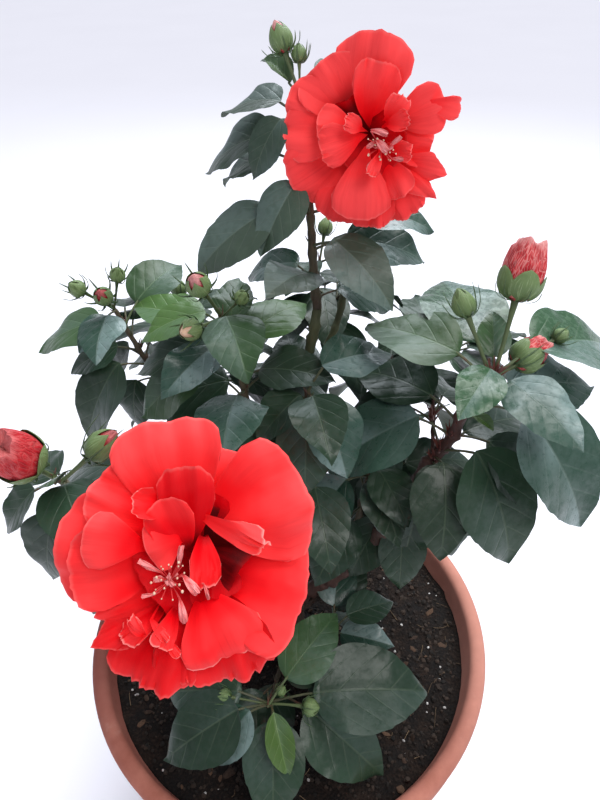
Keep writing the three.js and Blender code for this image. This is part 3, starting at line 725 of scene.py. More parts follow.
def make_skin(size: int, sheets: Sequence[tuple]) -> Skin:
    """Makes a skin of grids of points.

    Args:
        size: how many points the full shape has.
        sheets: for each side of the shape, a grid of its points and whether it is turned over.

    Returns:
        The skin, with triangles where a grid runs into a pole.
    """
    quads, maps, sides = [], [], []
    for side, (grid, turned) in enumerate(sheets):
        rows, columns = grid.shape
        plan = np.stack(np.meshgrid(np.linspace(0, 1, rows), np.linspace(0, 1, columns),
                                    indexing="ij"), -1)
        corners = ((slice(None, -1), slice(None, -1)), (slice(None, -1), slice(1, None)),
                   (slice(1, None), slice(1, None)), (slice(1, None), slice(None, -1)))
        faces = np.stack([grid[c] for c in corners], -1).reshape(-1, 4)
        spots = np.stack([plan[c] for c in corners], -2).reshape(-1, 4, 2)
        quads.append(faces[:, [0, 3, 2, 1]] if turned else faces)
        maps.append(spots[:, [0, 3, 2, 1]] if turned else spots)
        sides.append(np.full(len(faces), side))
    faces, spots, side = np.concatenate(quads), np.concatenate(maps), np.concatenate(sides)
    whole = np.ones(len(faces), bool)
    tris, tri_map, tri_side = [], [], []
    for k in range(4):
        following = (k + 1) % 4
        same = faces[:, k] == faces[:, following]
        whole &= ~same
        tris.append(np.delete(faces[same], following, 1))
        tri_map.append(np.delete(spots[same], following, 1))
        tri_side.append(side[same])
    keep = np.unique(faces)
    lookup = np.zeros(size, int)
    lookup[keep] = np.arange(len(keep))
    return Skin(size, keep, lookup[faces[whole]], spots[whole], side[whole],
                lookup[np.concatenate(tris)], np.concatenate(tri_map), np.concatenate(tri_side),
                len(sheets))


@lru_cache(maxsize=None)
def sheet_skin(rows: int, columns: int, pointed: bool) -> Skin:
    """The skin of a thin sheet: a top and an under grid that share their border.

    Args:
        rows: rows along the sheet, of which the first is one point.
        columns: columns across it.
        pointed: whether the last row is one point too, and not a rim.

    Returns:
        The skin. Its points are the top grid, then the under grid.
    """
    top = np.arange(rows * columns).reshape(rows, columns)
    under = top + rows * columns
    top[0] = top[0, 0]
    if pointed:
        top[-1] = top[-1, 0]
    under[:, 0], under[:, -1] = top[:, 0], top[:, -1]
    under[0], under[-1] = top[0], top[-1]
    return make_skin(2 * rows * columns, [(top, False), (under, True)])


@lru_cache(maxsize=None)
def tube_skin(rows: int, sides: int) -> Skin:
    """The skin of a tube with a pole at each end.

    Args:
        rows: rings of the tube, of which the first and the last are poles.
        sides: how many sides it has.

    Returns:
        The skin.
    """
    grid = np.arange(rows * (sides + 1)).reshape(rows, sides + 1)
    grid[:, -1] = grid[:, 0]
    grid[0], grid[-1] = grid[0, 0], grid[-1, 0]
    return make_skin(rows * (sides + 1), [(grid, False)])


class Piece:
    """One mesh object, joined from many closed parts."""

    def __init__(self, name: str, materials: Sequence[Material]) -> None:
        """Starts an empty piece.

        Args:
            name: its name.
            materials: its materials, in the order that parts name them.
        """
        self.name, self.materials = name, materials
        self.points, self.marks = [], []
        self.faces = {3: [], 4: []}
        self.count, self.cell_count = 0, 0

    def add(self, skin: Skin, points: Array, slots: Sequence[int] = (0, 0),
            mark: Union[Array, Sequence[float]] = (0, 0, 0)) -> None:
        """Adds one part, or several of the same skin.

        Args:
            skin: the part's faces.
            points: its points in millimetres, with a first axis for several parts.
            slots: the material of each of the skin's sides.
            mark: three numbers for its materials to read, for all points or for each.
        """
        run = points.reshape(-1, skin.size, 3)[:, skin.keep]
        copies, width = run.shape[:2]
        marks = np.asarray(mark, float)
        if marks.ndim > 1:
            marks = marks.reshape(-1, skin.size, 3)[:, skin.keep]
        inside_out = signed_volume(skin, run[0]) < 0
        offsets = (self.count + np.arange(copies) * width)[:, None, None]
        for faces, spots, side in ((skin.quads, skin.quad_map, skin.quad_side),
                                   (skin.tris, skin.tri_map, skin.tri_side)):
            corners = faces.shape[1]
            if inside_out:
                faces, spots = faces[:, ::-1], spots[:, ::-1]
            cells = self.cell_count + np.arange(copies)[:, None] * skin.sides + side
            self.faces[corners].append((
                (faces + offsets).reshape(-1, corners), np.tile(spots, (copies, 1, 1)),
                cells.ravel(), np.tile(np.asarray(slots)[side], copies)))
        self.points.append(run.reshape(-1, 3))
        self.marks.append(np.broadcast_to(marks, run.shape).reshape(-1, 3))
        self.count += copies * width
        self.cell_count += copies * skin.sides

    def add_rings(self, rings: Array, slot: int = 0,
                  mark: Union[Array, Sequence[float]] = (0, 0, 0)) -> None:
        """Adds a tube, or several, whose first and last rings are poles.

        Args:
            rings: its points in millimetres, a ring each row.
            slot: its material.
            mark: three numbers for the material to read, for all points or for each.
        """
        rows, columns = rings.shape[-3:-1]
        self.add(tube_skin(rows, columns - 1), rings, (slot,), mark)

    def add_tube(self, path: Array, radius: Array, sides: int, slot: int = 0,
                 mark: Sequence[float] = (0, 0, 0)) -> None:
        """Adds a round tube with a radius for each point of its path."""
        self.add_rings(tube_points(path, radius, sides), slot, mark)

    def add_sheet(self, top: Array, under: Array, slots: Sequence[int], mark: Sequence[Number],
                  pointed: bool = True) -> None:
        """Adds a thin sheet.

        Args:
            top: the grid of its upper points, in millimetres.
            under: the grid of its under points.
            slots: the material of its upper and of its under side.
            mark: three numbers or grids for the materials to read.
            pointed: whether it ends in one point, and not in a rim.
        """
        rows, columns = top.shape[:2]
        marks = np.stack([np.broadcast_to(value, (rows, columns)) for value in mark], -1)
        self.add(sheet_skin(rows, columns, pointed), np.stack([top, under]), slots,
                 np.stack([marks, marks]))

    def make(self, nodes: Iterable[str], slot: str, crease: float = 50) -> Thing:
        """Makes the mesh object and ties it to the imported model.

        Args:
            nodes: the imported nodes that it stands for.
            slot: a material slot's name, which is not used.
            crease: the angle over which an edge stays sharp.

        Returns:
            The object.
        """
        side = math.ceil(math.sqrt(self.cell_count))
        corners, spots, slots, counts = [], [], [], []
        for sized in self.faces.values():
            faces, maps, cells, materials = (np.concatenate(run) for run in zip(*sized))
            cell = np.stack([cells % side, cells // side], -1)[:, None]
            corners.append(faces.ravel())
            spots.append(((cell + MAP_MARGIN + (1 - 2 * MAP_MARGIN) * maps) / side).reshape(-1, 2))
            slots.append(materials)
            counts.append(np.full(len(faces), faces.shape[1]))
        counts = np.concatenate(counts)
        mesh = bpy.data.meshes.new(self.name)
        mesh.vertices.add(self.count)
        mesh.loops.add(counts.sum())
        mesh.polygons.add(len(counts))
        for part, key, values, kind in (
                (mesh.vertices, "co", np.concatenate(self.points) * MM, np.float32),
                (mesh.loops, "vertex_index", np.concatenate(corners), np.int32),
                (mesh.polygons, "loop_start", np.cumsum(counts) - counts, np.int32),
                (mesh.polygons, "material_index", np.concatenate(slots), np.int32)):
            part.foreach_set(key, values.astype(kind).ravel())
        mesh.update(calc_edges=True)
        own_map = mesh.uv_layers.new(name="OFBake")
        own_map.data.foreach_set("uv", np.concatenate(spots).astype(np.float32).ravel())
        place = mesh.attributes.new("place", "FLOAT_VECTOR", "POINT")
        place.data.foreach_set("vector", np.concatenate(self.marks).astype(np.float32).ravel())
        for material in self.materials:
            mesh.materials.append(material)
        made = bpy.data.objects.new(self.name, mesh)
        bpy.context.scene.collection.objects.link(made)
        select_only(made)
        bpy.ops.object.shade_smooth_by_angle(angle=math.radians(crease))
        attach(made, "root")
        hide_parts(*nodes)
        LOG.info("%s: %d triangles", self.name, (counts - 2).sum())
        return made


def signed_volume(skin: Skin, points: Array) -> float:
    """Measures a closed shape.

    Args:
        skin: its faces.
        points: its points.

    Returns:
        Six times the volume, under 0 where the faces are turned inward.
    """
    middle = points.mean(0)
    total = 0.0
    for faces in (skin.quads[:, :3], skin.quads[:, [0, 2, 3]], skin.tris):
        a, b, c = ((points[faces[:, k]] - middle) for k in range(3))
        total += float(np.sum(a * np.cross(b, c)))
    return total


def grid(rows: int, columns: int) -> tuple:
    """How far along from 0 to 1, and how far across from -1 to 1, each point of a sheet is."""
    along = np.linspace(0, 1, rows)[:, None] * np.ones(columns)
    return along, np.linspace(-1, 1, columns)[None] * np.ones_like(along)


def round_grid(rows: int, sides: int) -> tuple:
    """How far along from 0 to 1, and how far round in radians, each point of a tube is."""
    along = np.linspace(0, 1, rows)[:, None] * np.ones(sides + 1)
    return along, np.linspace(0, 2 * math.pi, sides + 1)[None] * np.ones_like(along)


def select_only(thing: Thing) -> None:
    """Makes the object the only one that is selected, and the active one.

    Args:
        thing: the object.
    """
    for other in bpy.context.view_layer.objects:
        other.select_set(False)
    thing.select_set(True)
    bpy.context.view_layer.objects.active = thing


class Swell:
    """Smooth chance variation: a sum of sines with seeded phases."""

    def __init__(self, chance: np.random.Generator, waves: int = 4) -> None:
        """Draws the sines.

        Args:
            chance: where the numbers come from.
            waves: how many sines there are.
        """
        self.turns = chance.uniform(0, 2 * math.pi, waves)
        self.rates = np.arange(1, waves + 1) * chance.uniform(0.8, 1.25, waves)
        self.sizes = chance.uniform(0.5, 1, waves) / np.arange(1, waves + 1) ** 0.7

    def __call__(self, x: Array) -> Array:
        """The variation at x, mostly between -1 and 1."""
        x = np.asarray(x, float)[..., None]
        return (np.sin(x * self.rates + self.turns) * self.sizes).sum(-1) / self.sizes.sum() * 1.6


def tube_points(path: Array, radius: Array, sides: int) -> Array:
    """Points of a tube round a path.

    Args:
        path: its middle line, one point a row.
        radius: its radius for each row, or for each row and side.
        sides: how many sides it has.

    Returns:
        Rows of points with a pole row at each end, for a tube skin.
    """
    way = unit(np.gradient(path, axis=0))
    chord = unit(path[-1] - path[0])
    reference = vec(1, 0, 0) if abs(chord[2]) > 0.7 else UP
    side = square_to(way, reference)
    other = np.cross(side, way)
    turn = np.linspace(0, 2 * math.pi, sides + 1)
    radius = np.asarray(radius, float)
    if radius.ndim == 1:
        radius = np.repeat(radius[:, None], sides + 1, 1)
    ring = (path[:, None] + radius[..., None] * (np.cos(turn)[None, :, None] * side[:, None]
                                                + np.sin(turn)[None, :, None] * other[:, None]))
    first = np.repeat(path[:1, None], sides + 1, 1)
    last = np.repeat(path[-1:, None] + way[-1] * radius[-1].mean() * 0.4, sides + 1, 1)
    return np.concatenate([first, ring, last])


# Materials
def operator(operation: str, turned: bool = False) -> Callable:
    """Makes a method that joins a wire with another value.

    Args:
        operation: the shader operation that joins them.
        turned: whether the other value comes first.

    Returns:
        The method.
    """
    def join(wire: "Wire", other: "Value") -> "Wire":
        """Joins the wire and the other value."""
        return wire.graph.sum(operation, *((other, wire) if turned else (wire, other)))
    return join


class Wire:
    """An output socket in a material, with the operators of shader sums."""

    __add__, __radd__ = operator("ADD"), operator("ADD", turned=True)
    __sub__, __rsub__ = operator("SUBTRACT"), operator("SUBTRACT", turned=True)
    __mul__, __rmul__ = operator("MULTIPLY"), operator("MULTIPLY", turned=True)

    def __init__(self, graph: "Graph", socket: bpy.types.NodeSocket) -> None:
        """Holds a socket of a graph."""
        self.graph, self.socket = graph, socket

    def __abs__(self) -> "Wire":
        """This without its sign."""
        return self.graph.sum("ABSOLUTE", self)


Value = Union[Wire, float, Colour]


class Graph:
    """A material and its node tree."""

    def __init__(self, name: str) -> None:
        """Starts a material of that name.

        Args:
            name: the material's name.
        """
        self.material = bpy.data.materials.new(name)
        self.material.use_nodes = True
        self.tree = self.material.node_tree
        self.surface = self.tree.nodes["Principled BSDF"]

    def put(self, socket: bpy.types.NodeSocket, value: Value) -> None:
        """Links a wire to a socket, or sets the socket's own value.

        Args:
            socket: the input socket.
            value: what it takes.
        """
        if isinstance(value, Wire):
            self.tree.links.new(value.socket, socket)
        elif socket.type == "RGBA":
            socket.default_value = (*value, 1.0)
        elif socket.type == "VECTOR" and not isinstance(value, tuple):
            socket.default_value = (value, value, value)
        else:
            socket.default_value = value

    def node(self, kind: str, settings: dict = None, sockets: dict = None) -> bpy.types.Node:
        """Adds a node.

        Args:
            kind: the node's type.
            settings: its settings, which are made first.
            sockets: the values or wires of its inputs.

        Returns:
            The node.
        """
        made = self.tree.nodes.new(kind)
        for key, value in (settings or {}).items():
            setattr(made, key, value)
        for key, value in (sockets or {}).items():
            self.put(made.inputs[key], value)
        return made

    def out(self, node: bpy.types.Node, name: Union[str, int] = 0) -> Wire:
        """An output of a node as a wire."""
        return Wire(self, node.outputs[name])

    def sum(self, operation: str, *values: Value) -> Wire:
        """Joins values by an operation, as vectors where one of them is one.

        Args:
            operation: the shader operation.
            values: what it joins, in order.

        Returns:
            The wire of the result.
        """
        vector = any(isinstance(v, tuple) or isinstance(v, Wire) and v.socket.type != "VALUE"
                     for v in values)
        kind = "ShaderNodeVectorMath" if vector else "ShaderNodeMath"
        return self.out(self.node(kind, {"operation": operation}, dict(enumerate(values))))

    def mix(self, share: Value, first: Value, second: Value) -> Wire:
        """The first colour where the share is 0 and the second where it is 1."""
        made = self.node("ShaderNodeMix", {"data_type": "RGBA"}, {0: share, 6: first, 7: second})
        return self.out(made, 2)

    def fit(self, value: Value, low: float, high: float, start: float = 0.0, end: float = 1.0) -> Wire:
        """The value brought smoothly from one range into another, and held in it.

        Args:
            value: the value.
            low: where the range that it comes from starts.
            high: where that range ends.
            start: what it is at or below low.
            end: what it is at or above high.

        Returns:
            The wire of the result.
        """
        made = self.node("ShaderNodeMapRange", {"interpolation_type": "SMOOTHSTEP"},
                         {0: value, 1: low, 2: high, 3: start, 4: end})
        return self.out(made)

    def spot(self) -> Wire:
        """The place on the object, in metres."""
        return self.out(self.node("ShaderNodeTexCoord"), "Object")

    def place(self) -> tuple:
        """The three numbers of the mesh's own place attribute."""
        held = self.node("ShaderNodeAttribute", {"attribute_name": "place"})
        return self.split(self.out(held, "Vector"))

    def split(self, vector: Wire) -> tuple:
        """The three parts of a vector."""
        made = self.node("ShaderNodeSeparateXYZ", None, {0: vector})
        return tuple(self.out(made, k) for k in range(3))

    def join(self, x: Value, y: Value, z: Value) -> Wire:
        """A vector of three values."""
        return self.out(self.node("ShaderNodeCombineXYZ", None, {0: x, 1: y, 2: z}))

    def noise(self, vector: Wire, scale: float, detail: float = 3.0, rough: float = 0.5) -> Wire:
        """Cloudy noise from 0 to 1."""
        return self.out(self.node("ShaderNodeTexNoise", None, {
            "Vector": vector, "Scale": scale, "Detail": detail, "Roughness": rough}), 0)

    def cells(self, vector: Wire, scale: float, feature: str = "F1") -> Wire:
        """Distance to the nearest of scattered points."""
        return self.out(self.node("ShaderNodeTexVoronoi", {"feature": feature}, {
            "Vector": vector, "Scale": scale}), "Distance")

    def veins(self, along: Wire, across: Wire) -> tuple:
        """The veins of a leaf: midrib and side veins that curve towards its tip.

        Args:
            along: how far along the blade a point is.
            across: how far off the midrib it is, as a share of the blade's length.

        Returns:
            A value that is 1 on a vein and 0 off it, and the swelling between the veins.
        """
        side = abs(across)
        run = along - side * 1.05 - side * side * 0.9
        rows = abs(self.sum("FRACT", run * 4.7 + 0.03) - 0.5)
        side_vein = self.fit(rows, 0.43, 0.485) * self.fit(side, 0.36, 0.06) * self.fit(run, -0.05, 0.0)
        midrib = self.fit(side, 0.014, 0.004) * self.fit(along, 1.0, 0.7)
        swell = (1.0 - rows * rows * 4.0) * self.fit(side, 0.0, 0.09) * self.fit(run, -0.12, 0.02)
        return self.sum("MAXIMUM", midrib, side_vein * 0.6), swell

    def bump(self, height: Value, distance: float, strength: float = 1.0) -> Wire:
        """A normal from a height, with its depth in metres."""
        return self.out(self.node("ShaderNodeBump", None, {
            "Height": height, "Distance": distance, "Strength": strength}), "Normal")

    def finish(self, **values: Value) -> Material:
        """Sets the surface's inputs, named with _ for a blank, and returns the material.

        Args:
            values: each input by its name.

        Returns:
            The material.
        """
        for key, value in values.items():
            self.put(self.surface.inputs[key.replace("_", " ")], value)
        return self.material


@dataclass(frozen=True)
class LeafFinish:
    """Colours and gloss of one tone of leaf, with the strength of its painted highlight patches and of its
    painted sky sheen.
    """

    deep: Colour
    lit: Colour
    vein: Colour
    roughness: float
    coat: float = 0.15
    painted_dapple: float = 0.0
    painted_sheen: float = 0.18


# Colours of the tones, with the painted shade, sheen, highlights and haze that they stand for. Where a row
# has them, its last two numbers are the strength of the painted highlight patches and of the painted sky
# sheen.
LEAF_FINISHES = {
    DARK: LeafFinish((0.009, 0.023, 0.011), (0.027, 0.060, 0.033), (0.075, 0.110, 0.062), 0.36, 0.14,
                     0.0, 0.1),
    MID: LeafFinish((0.020, 0.052, 0.018), (0.052, 0.108, 0.040), (0.110, 0.180, 0.080), 0.36, 0.14),
    BRIGHT: LeafFinish((0.046, 0.112, 0.024), (0.088, 0.178, 0.046), (0.170, 0.260, 0.090), 0.36, 0.15),
    YOUNG: LeafFinish((0.024, 0.060, 0.010), (0.078, 0.150, 0.030), (0.190, 0.290, 0.095), 0.40, 0.1),
    GREY: LeafFinish((0.014, 0.040, 0.026), (0.042, 0.092, 0.066), (0.110, 0.160, 0.125), 0.33, 0.28,
                     0.1, 0.8),
    GLOSSY: LeafFinish((0.010, 0.044, 0.017), (0.044, 0.110, 0.050), (0.115, 0.200, 0.110), 0.26, 0.3,
                       0.6, 0.5),
    HAZY: LeafFinish((0.018, 0.038, 0.024), (0.064, 0.098, 0.066), (0.120, 0.160, 0.110), 0.42, 0.12,
                     0.1, 0.3),
}


def leaf_material(tone: Tone, finish: LeafFinish) -> Material:
    """The upper side of a leaf: midrib, side veins, swelling between them, painted highlight patches and a
    painted pale sky sheen on one half.

    Args:
        tone: the tone that it belongs to.
        finish: its colours and gloss.

    Returns:
        The material. It reads how far along and across the blade a point is.
    """
    g = Graph(f"leaf_{tone.value}")
    along, across, chance = g.place()
    spot = g.spot()
    vein, swell = g.veins(along, across)
    cloud = g.noise(spot, 38.0, 3.0)
    blotch = g.noise(spot, 240.0, 3.0, 0.6)
    # Painted highlight patches: blotches that push the colour towards the lit colour, in place of light
    # glinting on the leaf.
    painted_dapple = g.fit(blotch, 0.50, 0.66) * finish.painted_dapple
    share = g.sum("MINIMUM", cloud * 0.6 + chance * 0.55 + painted_dapple, 1.0)
    olive = tuple(0.85 * part + 0.15 * other for part, other in zip(finish.deep, (0.055, 0.048, 0.030)))
    deep = g.mix(g.fit(g.sum("FRACT", chance * 7.3), 0.45, 0.75), finish.deep, olive)
    colour = g.mix(vein * 0.4, g.mix(share, deep, finish.lit), finish.vein)
    # Painted sky reflection: a pale bluish sheen on one half of the leaf, the half picked by the leaf's
    # number, and patchy.
    half = g.fit(across * g.fit(g.sum("FRACT", chance * 5.1), 0.49, 0.51, 1.0, -1.0), -0.012, 0.012)
    painted_sheen = half * g.fit(g.noise(spot, 16.0, 1.0), 0.38, 0.56) * g.fit(blotch, 0.2, 0.6, 0.55, 1.0)
    colour = g.mix(painted_sheen * finish.painted_sheen, colour, (0.190, 0.270, 0.255))
    height = g.noise(spot, 60.0, 2.0) * 1.4 + swell * 0.22 - vein * 0.2 + g.noise(spot, 380.0, 2.0) * 0.15
    return g.finish(Base_Color=colour, Roughness=g.fit(blotch, 0.3, 0.7, finish.roughness - 0.08,
                                                       finish.roughness + 0.10),
                    Specular_IOR_Level=0.28, Coat_Roughness=0.2, Normal=g.bump(height, 0.0012, 0.8),
                    Coat_Weight=g.fit(blotch, 0.42, 0.6, finish.coat * 0.3, finish.coat * 1.7))


def underside_material() -> Material:
    """The paler, duller under side of a leaf, with raised veins.

    Returns:
        The material.
    """
    g = Graph("leaf_underside")
    along, across, chance = g.place()
    vein = g.veins(along, across)[0]
    cloud = g.noise(g.spot(), 90.0)
    colour = g.mix(vein * 0.7, g.mix(cloud * 0.6 + chance * 0.4, (0.050, 0.092, 0.055),
                                     (0.085, 0.140, 0.085)), (0.150, 0.215, 0.130))
    return g.finish(Base_Color=colour, Roughness=0.6, Normal=g.bump(vein, 0.0004, 0.8))


def bark_material() -> Material:
    """Bark that goes from brown wood to olive green shoots, by the mesh's own place.

    Returns:
        The material.
    """
    g = Graph("bark")
    green, red, _ = g.place()
    spot = g.spot()
    stretched = spot * (1.0, 1.0, 0.35)
    grain = g.noise(stretched, 420.0, 5.0, 0.6)
    patch = g.noise(spot, 70.0, 3.0)
    wood = g.mix(g.fit(grain * 0.6 + patch * 0.5, 0.35, 0.75), (0.022, 0.014, 0.010), (0.110, 0.078, 0.056))
    young = g.mix(patch, (0.050, 0.060, 0.024), (0.110, 0.130, 0.055))
    russet = g.mix(grain, (0.030, 0.010, 0.008), (0.095, 0.036, 0.026))
    colour = g.mix(red, g.mix(g.fit(green + (patch - 0.5) * 0.5, 0.15, 0.85), wood, young), russet)
    pores = g.cells(stretched, 700.0)
    height = grain * 0.7 + g.fit(pores, 0.1, 0.4) * 0.3
    return g.finish(Base_Color=colour, Roughness=g.fit(grain, 0.2, 0.8, 0.6, 0.85),
                    Normal=g.bump(height, 0.0007, 0.8))


def shoot_material() -> Material:
    """Green petioles, stalks and stipules, flushed with red in places.

    Returns:
        The material.
    """
    g = Graph("shoot")
    green, red, _ = g.place()
    spot = g.spot()
    cloud = g.noise(spot, 160.0, 3.0)
    fresh = g.mix(cloud, (0.055, 0.085, 0.028), (0.120, 0.170, 0.060))
    woody = g.mix(cloud, (0.032, 0.026, 0.018), (0.085, 0.066, 0.042))
    flushed = g.mix(g.fit(cloud + red * 0.6, 0.75, 1.1), g.mix(green, woody, fresh), (0.130, 0.035, 0.025))
    return g.finish(Base_Color=flushed, Roughness=g.fit(cloud, 0.2, 0.8, 0.45, 0.65),
                    Normal=g.bump(g.noise(spot, 900.0, 2.0), 0.0002, 0.5))


def petal_material(name: str, rim: float) -> Material:
    """Scarlet petals, deep red at the foot and coral towards the rim, with painted light and shade, and fine
    wrinkles.

    Args:
        name: the material's name.
        rim: strength of the pale edge, partly the petal's own paler edge and partly a painted highlight on
            its rim.

    Returns:
        The material. The third number of a petal's place is how much painted light it has, below 0 painted
        shade.
    """
    g = Graph(name)
    along, across, painted_light = g.place()
    fan = g.join(across * 5.0, along * 0.9, painted_light * 37.0)
    streak = g.noise(fan, 1.5, 3.0, 0.55)
    cloud = g.noise(g.spot(), 45.0, 2.0)
    # Painted light and shade: each petal's number pushes it towards coral where it is lit, and towards deep
    # red where it is in shade.
    share = painted_light * 0.75 + along * 0.85 + (cloud - 0.5) * 0.7 - 0.12
    deep = g.mix(g.fit(painted_light, -0.5, 0.2), (0.54, 0.0006, 0.004), (0.88, 0.0010, 0.006))
    body = g.mix(g.fit(share, 0.15, 1.20), deep, (0.92, 0.064, 0.064))
    # Painted shade in the throat: the petals with the lowest numbers go nearly black at their foot.
    foot = g.mix(g.fit(painted_light, -1.6, -1.25), (0.07, 0.0002, 0.001), (0.30, 0.0005, 0.003))
    body = g.mix(g.fit(along + painted_light * 0.5, 0.02, 0.34), foot, body)
    thread = g.fit(g.noise(g.join(across * 22.0, along * 0.8, painted_light * 31.0), 1.3, 2.0, 0.5), 0.58, 0.76)
    patchy = g.fit(g.noise(g.spot(), 30.0, 2.0), 0.36, 0.62)
    body = g.mix((g.fit(streak, 0.62, 0.38) * 0.15 + thread * 0.15) * patchy, body, (0.50, 0.001, 0.006))
    # Pale edge: partly the petals' own paler edge, partly a painted highlight on their rims; it fades out on
    # the petals painted in shade.
    edge = g.fit(along + (streak - 0.5) * 0.03, 0.955, 0.995) * g.fit(painted_light, -0.9, -0.3, 0.0, rim)
    body = g.mix(edge, body, (0.93, 0.33, 0.30))
    wrinkle = g.noise(g.join(across * 20.0, along * 3.0, painted_light * 11.0), 1.2, 3.0, 0.6)
    height = streak * 0.4 + wrinkle * g.fit(along, 0.4, 1.0, 0.06, 0.30)
    # The faint red emission is a painted glow, in place of light shining through the petals.
    return g.finish(Base_Color=body, Roughness=g.fit(cloud, 0.3, 0.7, 0.42, 0.56),
                    Sheen_Weight=0.03, Sheen_Roughness=0.5, Sheen_Tint=(1.0, 0.4, 0.4),
                    Emission_Color=body, Emission_Strength=0.07,
                    Specular_IOR_Level=0.08, Normal=g.bump(height, 0.0005, 0.4))


def tuft_material() -> Material:
    """The small blades of the tuft, pinkish white and red at the foot.

    Returns:
        The material.
    """
    g = Graph("tuft")
    along, across, chance = g.place()
    cloud = g.noise(g.join(across * 3.0, along * 3.0, chance * 23.0), 1.5, 3.0)
    pale = g.fit(along * 0.9 + (cloud - 0.5) * 1.1 + abs(across) * 0.25, 0.15, 0.75)
    colour = g.mix(pale, g.mix(cloud, (0.56, 0.008, 0.012), (0.80, 0.060, 0.060)),
                   g.mix(cloud, (0.84, 0.38, 0.36), (0.82, 0.17, 0.17)))
    return g.finish(Base_Color=colour, Roughness=g.fit(cloud, 0.3, 0.7, 0.45, 0.6),
                    Normal=g.bump(cloud, 0.0005, 0.7))


def anther_material() -> Material:
    """Cream anthers with a grain of pollen.

    Returns:
        The material.
    """
    g = Graph("anther")
    chance = g.place()[2]
    grain = g.noise(g.spot(), 1500.0, 2.0)
    colour = g.mix(grain * 0.7 + chance * 0.4, (0.62, 0.30, 0.20), (0.86, 0.66, 0.48))
    return g.finish(Base_Color=colour, Roughness=0.7, Normal=g.bump(grain, 0.0003, 0.8))


def bud_material(name: str, deep: Colour, lit: Colour, vein: Colour) -> Material:
    """A calyx, bract or rolled petal with veins along it.

    Args:
        name: the material's name.
        deep: its deeper colour, between the ribs.
        lit: its lighter colour.
        vein: the colour of the veins.

    Returns:
        The material.
    """
    g = Graph(name)
    along, across, chance = g.place()
    streak = g.noise(g.join(across * 7.0, along * 1.2, chance * 13.0), 1.6, 3.0, 0.6)
    cloud = g.noise(g.spot(), 220.0, 3.0)
    body = g.mix(cloud * 0.5 + along * 0.4, deep, lit)
    colour = g.mix(g.fit(streak, 0.52, 0.72) * 0.8, body, vein)
    return g.finish(Base_Color=colour, Roughness=g.fit(cloud, 0.3, 0.7, 0.45, 0.62),
                    Normal=g.bump(streak + cloud * 0.3, 0.0005, 0.8))


def rolled_material() -> Material:
    """Petals still rolled in the bud: rose red under a net of pale veins.

    Returns:
        The material.
    """
    g = Graph("rolled_petals")
    along, across, chance = g.place()
    bend = g.noise(g.spot(), 160.0, 2.0) * 0.7
    left = g.fit(g.split(g.spot())[0], -0.06, -0.10)
    net = g.cells(g.join(across * 3.4 + bend, along * 2.8 + bend, chance * 13.0), 2.4, "DISTANCE_TO_EDGE")
    cloud = g.noise(g.spot(), 260.0, 3.0)
    body = g.mix(g.fit(cloud, 0.3, 0.7), (0.42, 0.014, 0.022), (0.64, 0.070, 0.072))
    body = g.mix(left * 0.7, body, g.mix(cloud, (0.30, 0.006, 0.012), (0.62, 0.030, 0.036)))
    body = g.mix(g.fit(net, 0.13, 0.0) * g.fit(left, 0.0, 1.0, 0.45, 0.12), body, (0.82, 0.42, 0.38))
    colour = g.mix(g.fit(along + cloud * 0.2, 0.76, 0.95) * g.fit(left, 0.0, 1.0, 0.55, 0.2), body,
                   (0.84, 0.50, 0.47))
    return g.finish(Base_Color=colour, Roughness=g.fit(cloud, 0.3, 0.7, 0.45, 0.62),
                    Specular_IOR_Level=0.15, Normal=g.bump(net * 1.5 + cloud * 0.3, 0.0008, 0.8))


def clay_material() -> Material:
    """Matt terracotta with throwing marks, mottling, pale salts and a darker damp foot, with painted shade on
    its left side and painted light on its right.

    Returns:
        The material.
    """
    g = Graph("terracotta")
    spot = g.spot()
    sideways, depth, height = g.split(spot)
    cloud = g.noise(spot, 9.0, 5.0, 0.6)
    mottle = g.noise(spot, 70.0, 4.0, 0.6)
    colour = g.mix(g.fit(cloud * 0.6 + mottle * 0.4, 0.35, 0.66), (0.38, 0.122, 0.082), (0.56, 0.220, 0.160))
    salts = g.fit(g.noise(spot * (1.0, 1.0, 0.6), 26.0, 6.0, 0.7), 0.60, 0.80)
    colour = g.mix(salts * 0.45, colour, (0.68, 0.43, 0.36))
    stain = g.fit(g.noise(spot, 34.0, 5.0, 0.65), 0.57, 0.74) * 0.5
    colour = g.mix(stain, colour, (0.22, 0.075, 0.052))
    # Painted shade: the left side of the pot, deepest towards the back, goes dark brown-red.
    colour = g.mix(g.fit(sideways - depth * 0.9 + cloud * 0.1, 0.10, -0.16), colour, (0.20, 0.048, 0.036))
    # Painted light: the right side of the pot is paler, where the light falls.
    colour = g.mix(g.fit(sideways + cloud * 0.08, 0.12, 0.24) * 0.6, colour, (0.60, 0.29, 0.225))
    damp = g.fit(height + (cloud - 0.5) * 0.08, 0.07, 0.0) * 0.5
    colour = g.mix(damp, colour, (0.20, 0.070, 0.048))
    rings = g.noise(g.join(0.0, 0.0, height), 320.0, 2.0)
    grit = g.noise(spot, 900.0, 3.0, 0.7)
    pits = g.fit(g.cells(spot, 260.0), 0.0, 0.12)
    relief = rings * 0.5 + grit * 0.25 + pits * 0.35
    return g.finish(Base_Color=colour, Roughness=g.fit(mottle, 0.3, 0.7, 0.72, 0.9),
                    Specular_IOR_Level=0.3, Normal=g.bump(relief, 0.0006, 0.7))


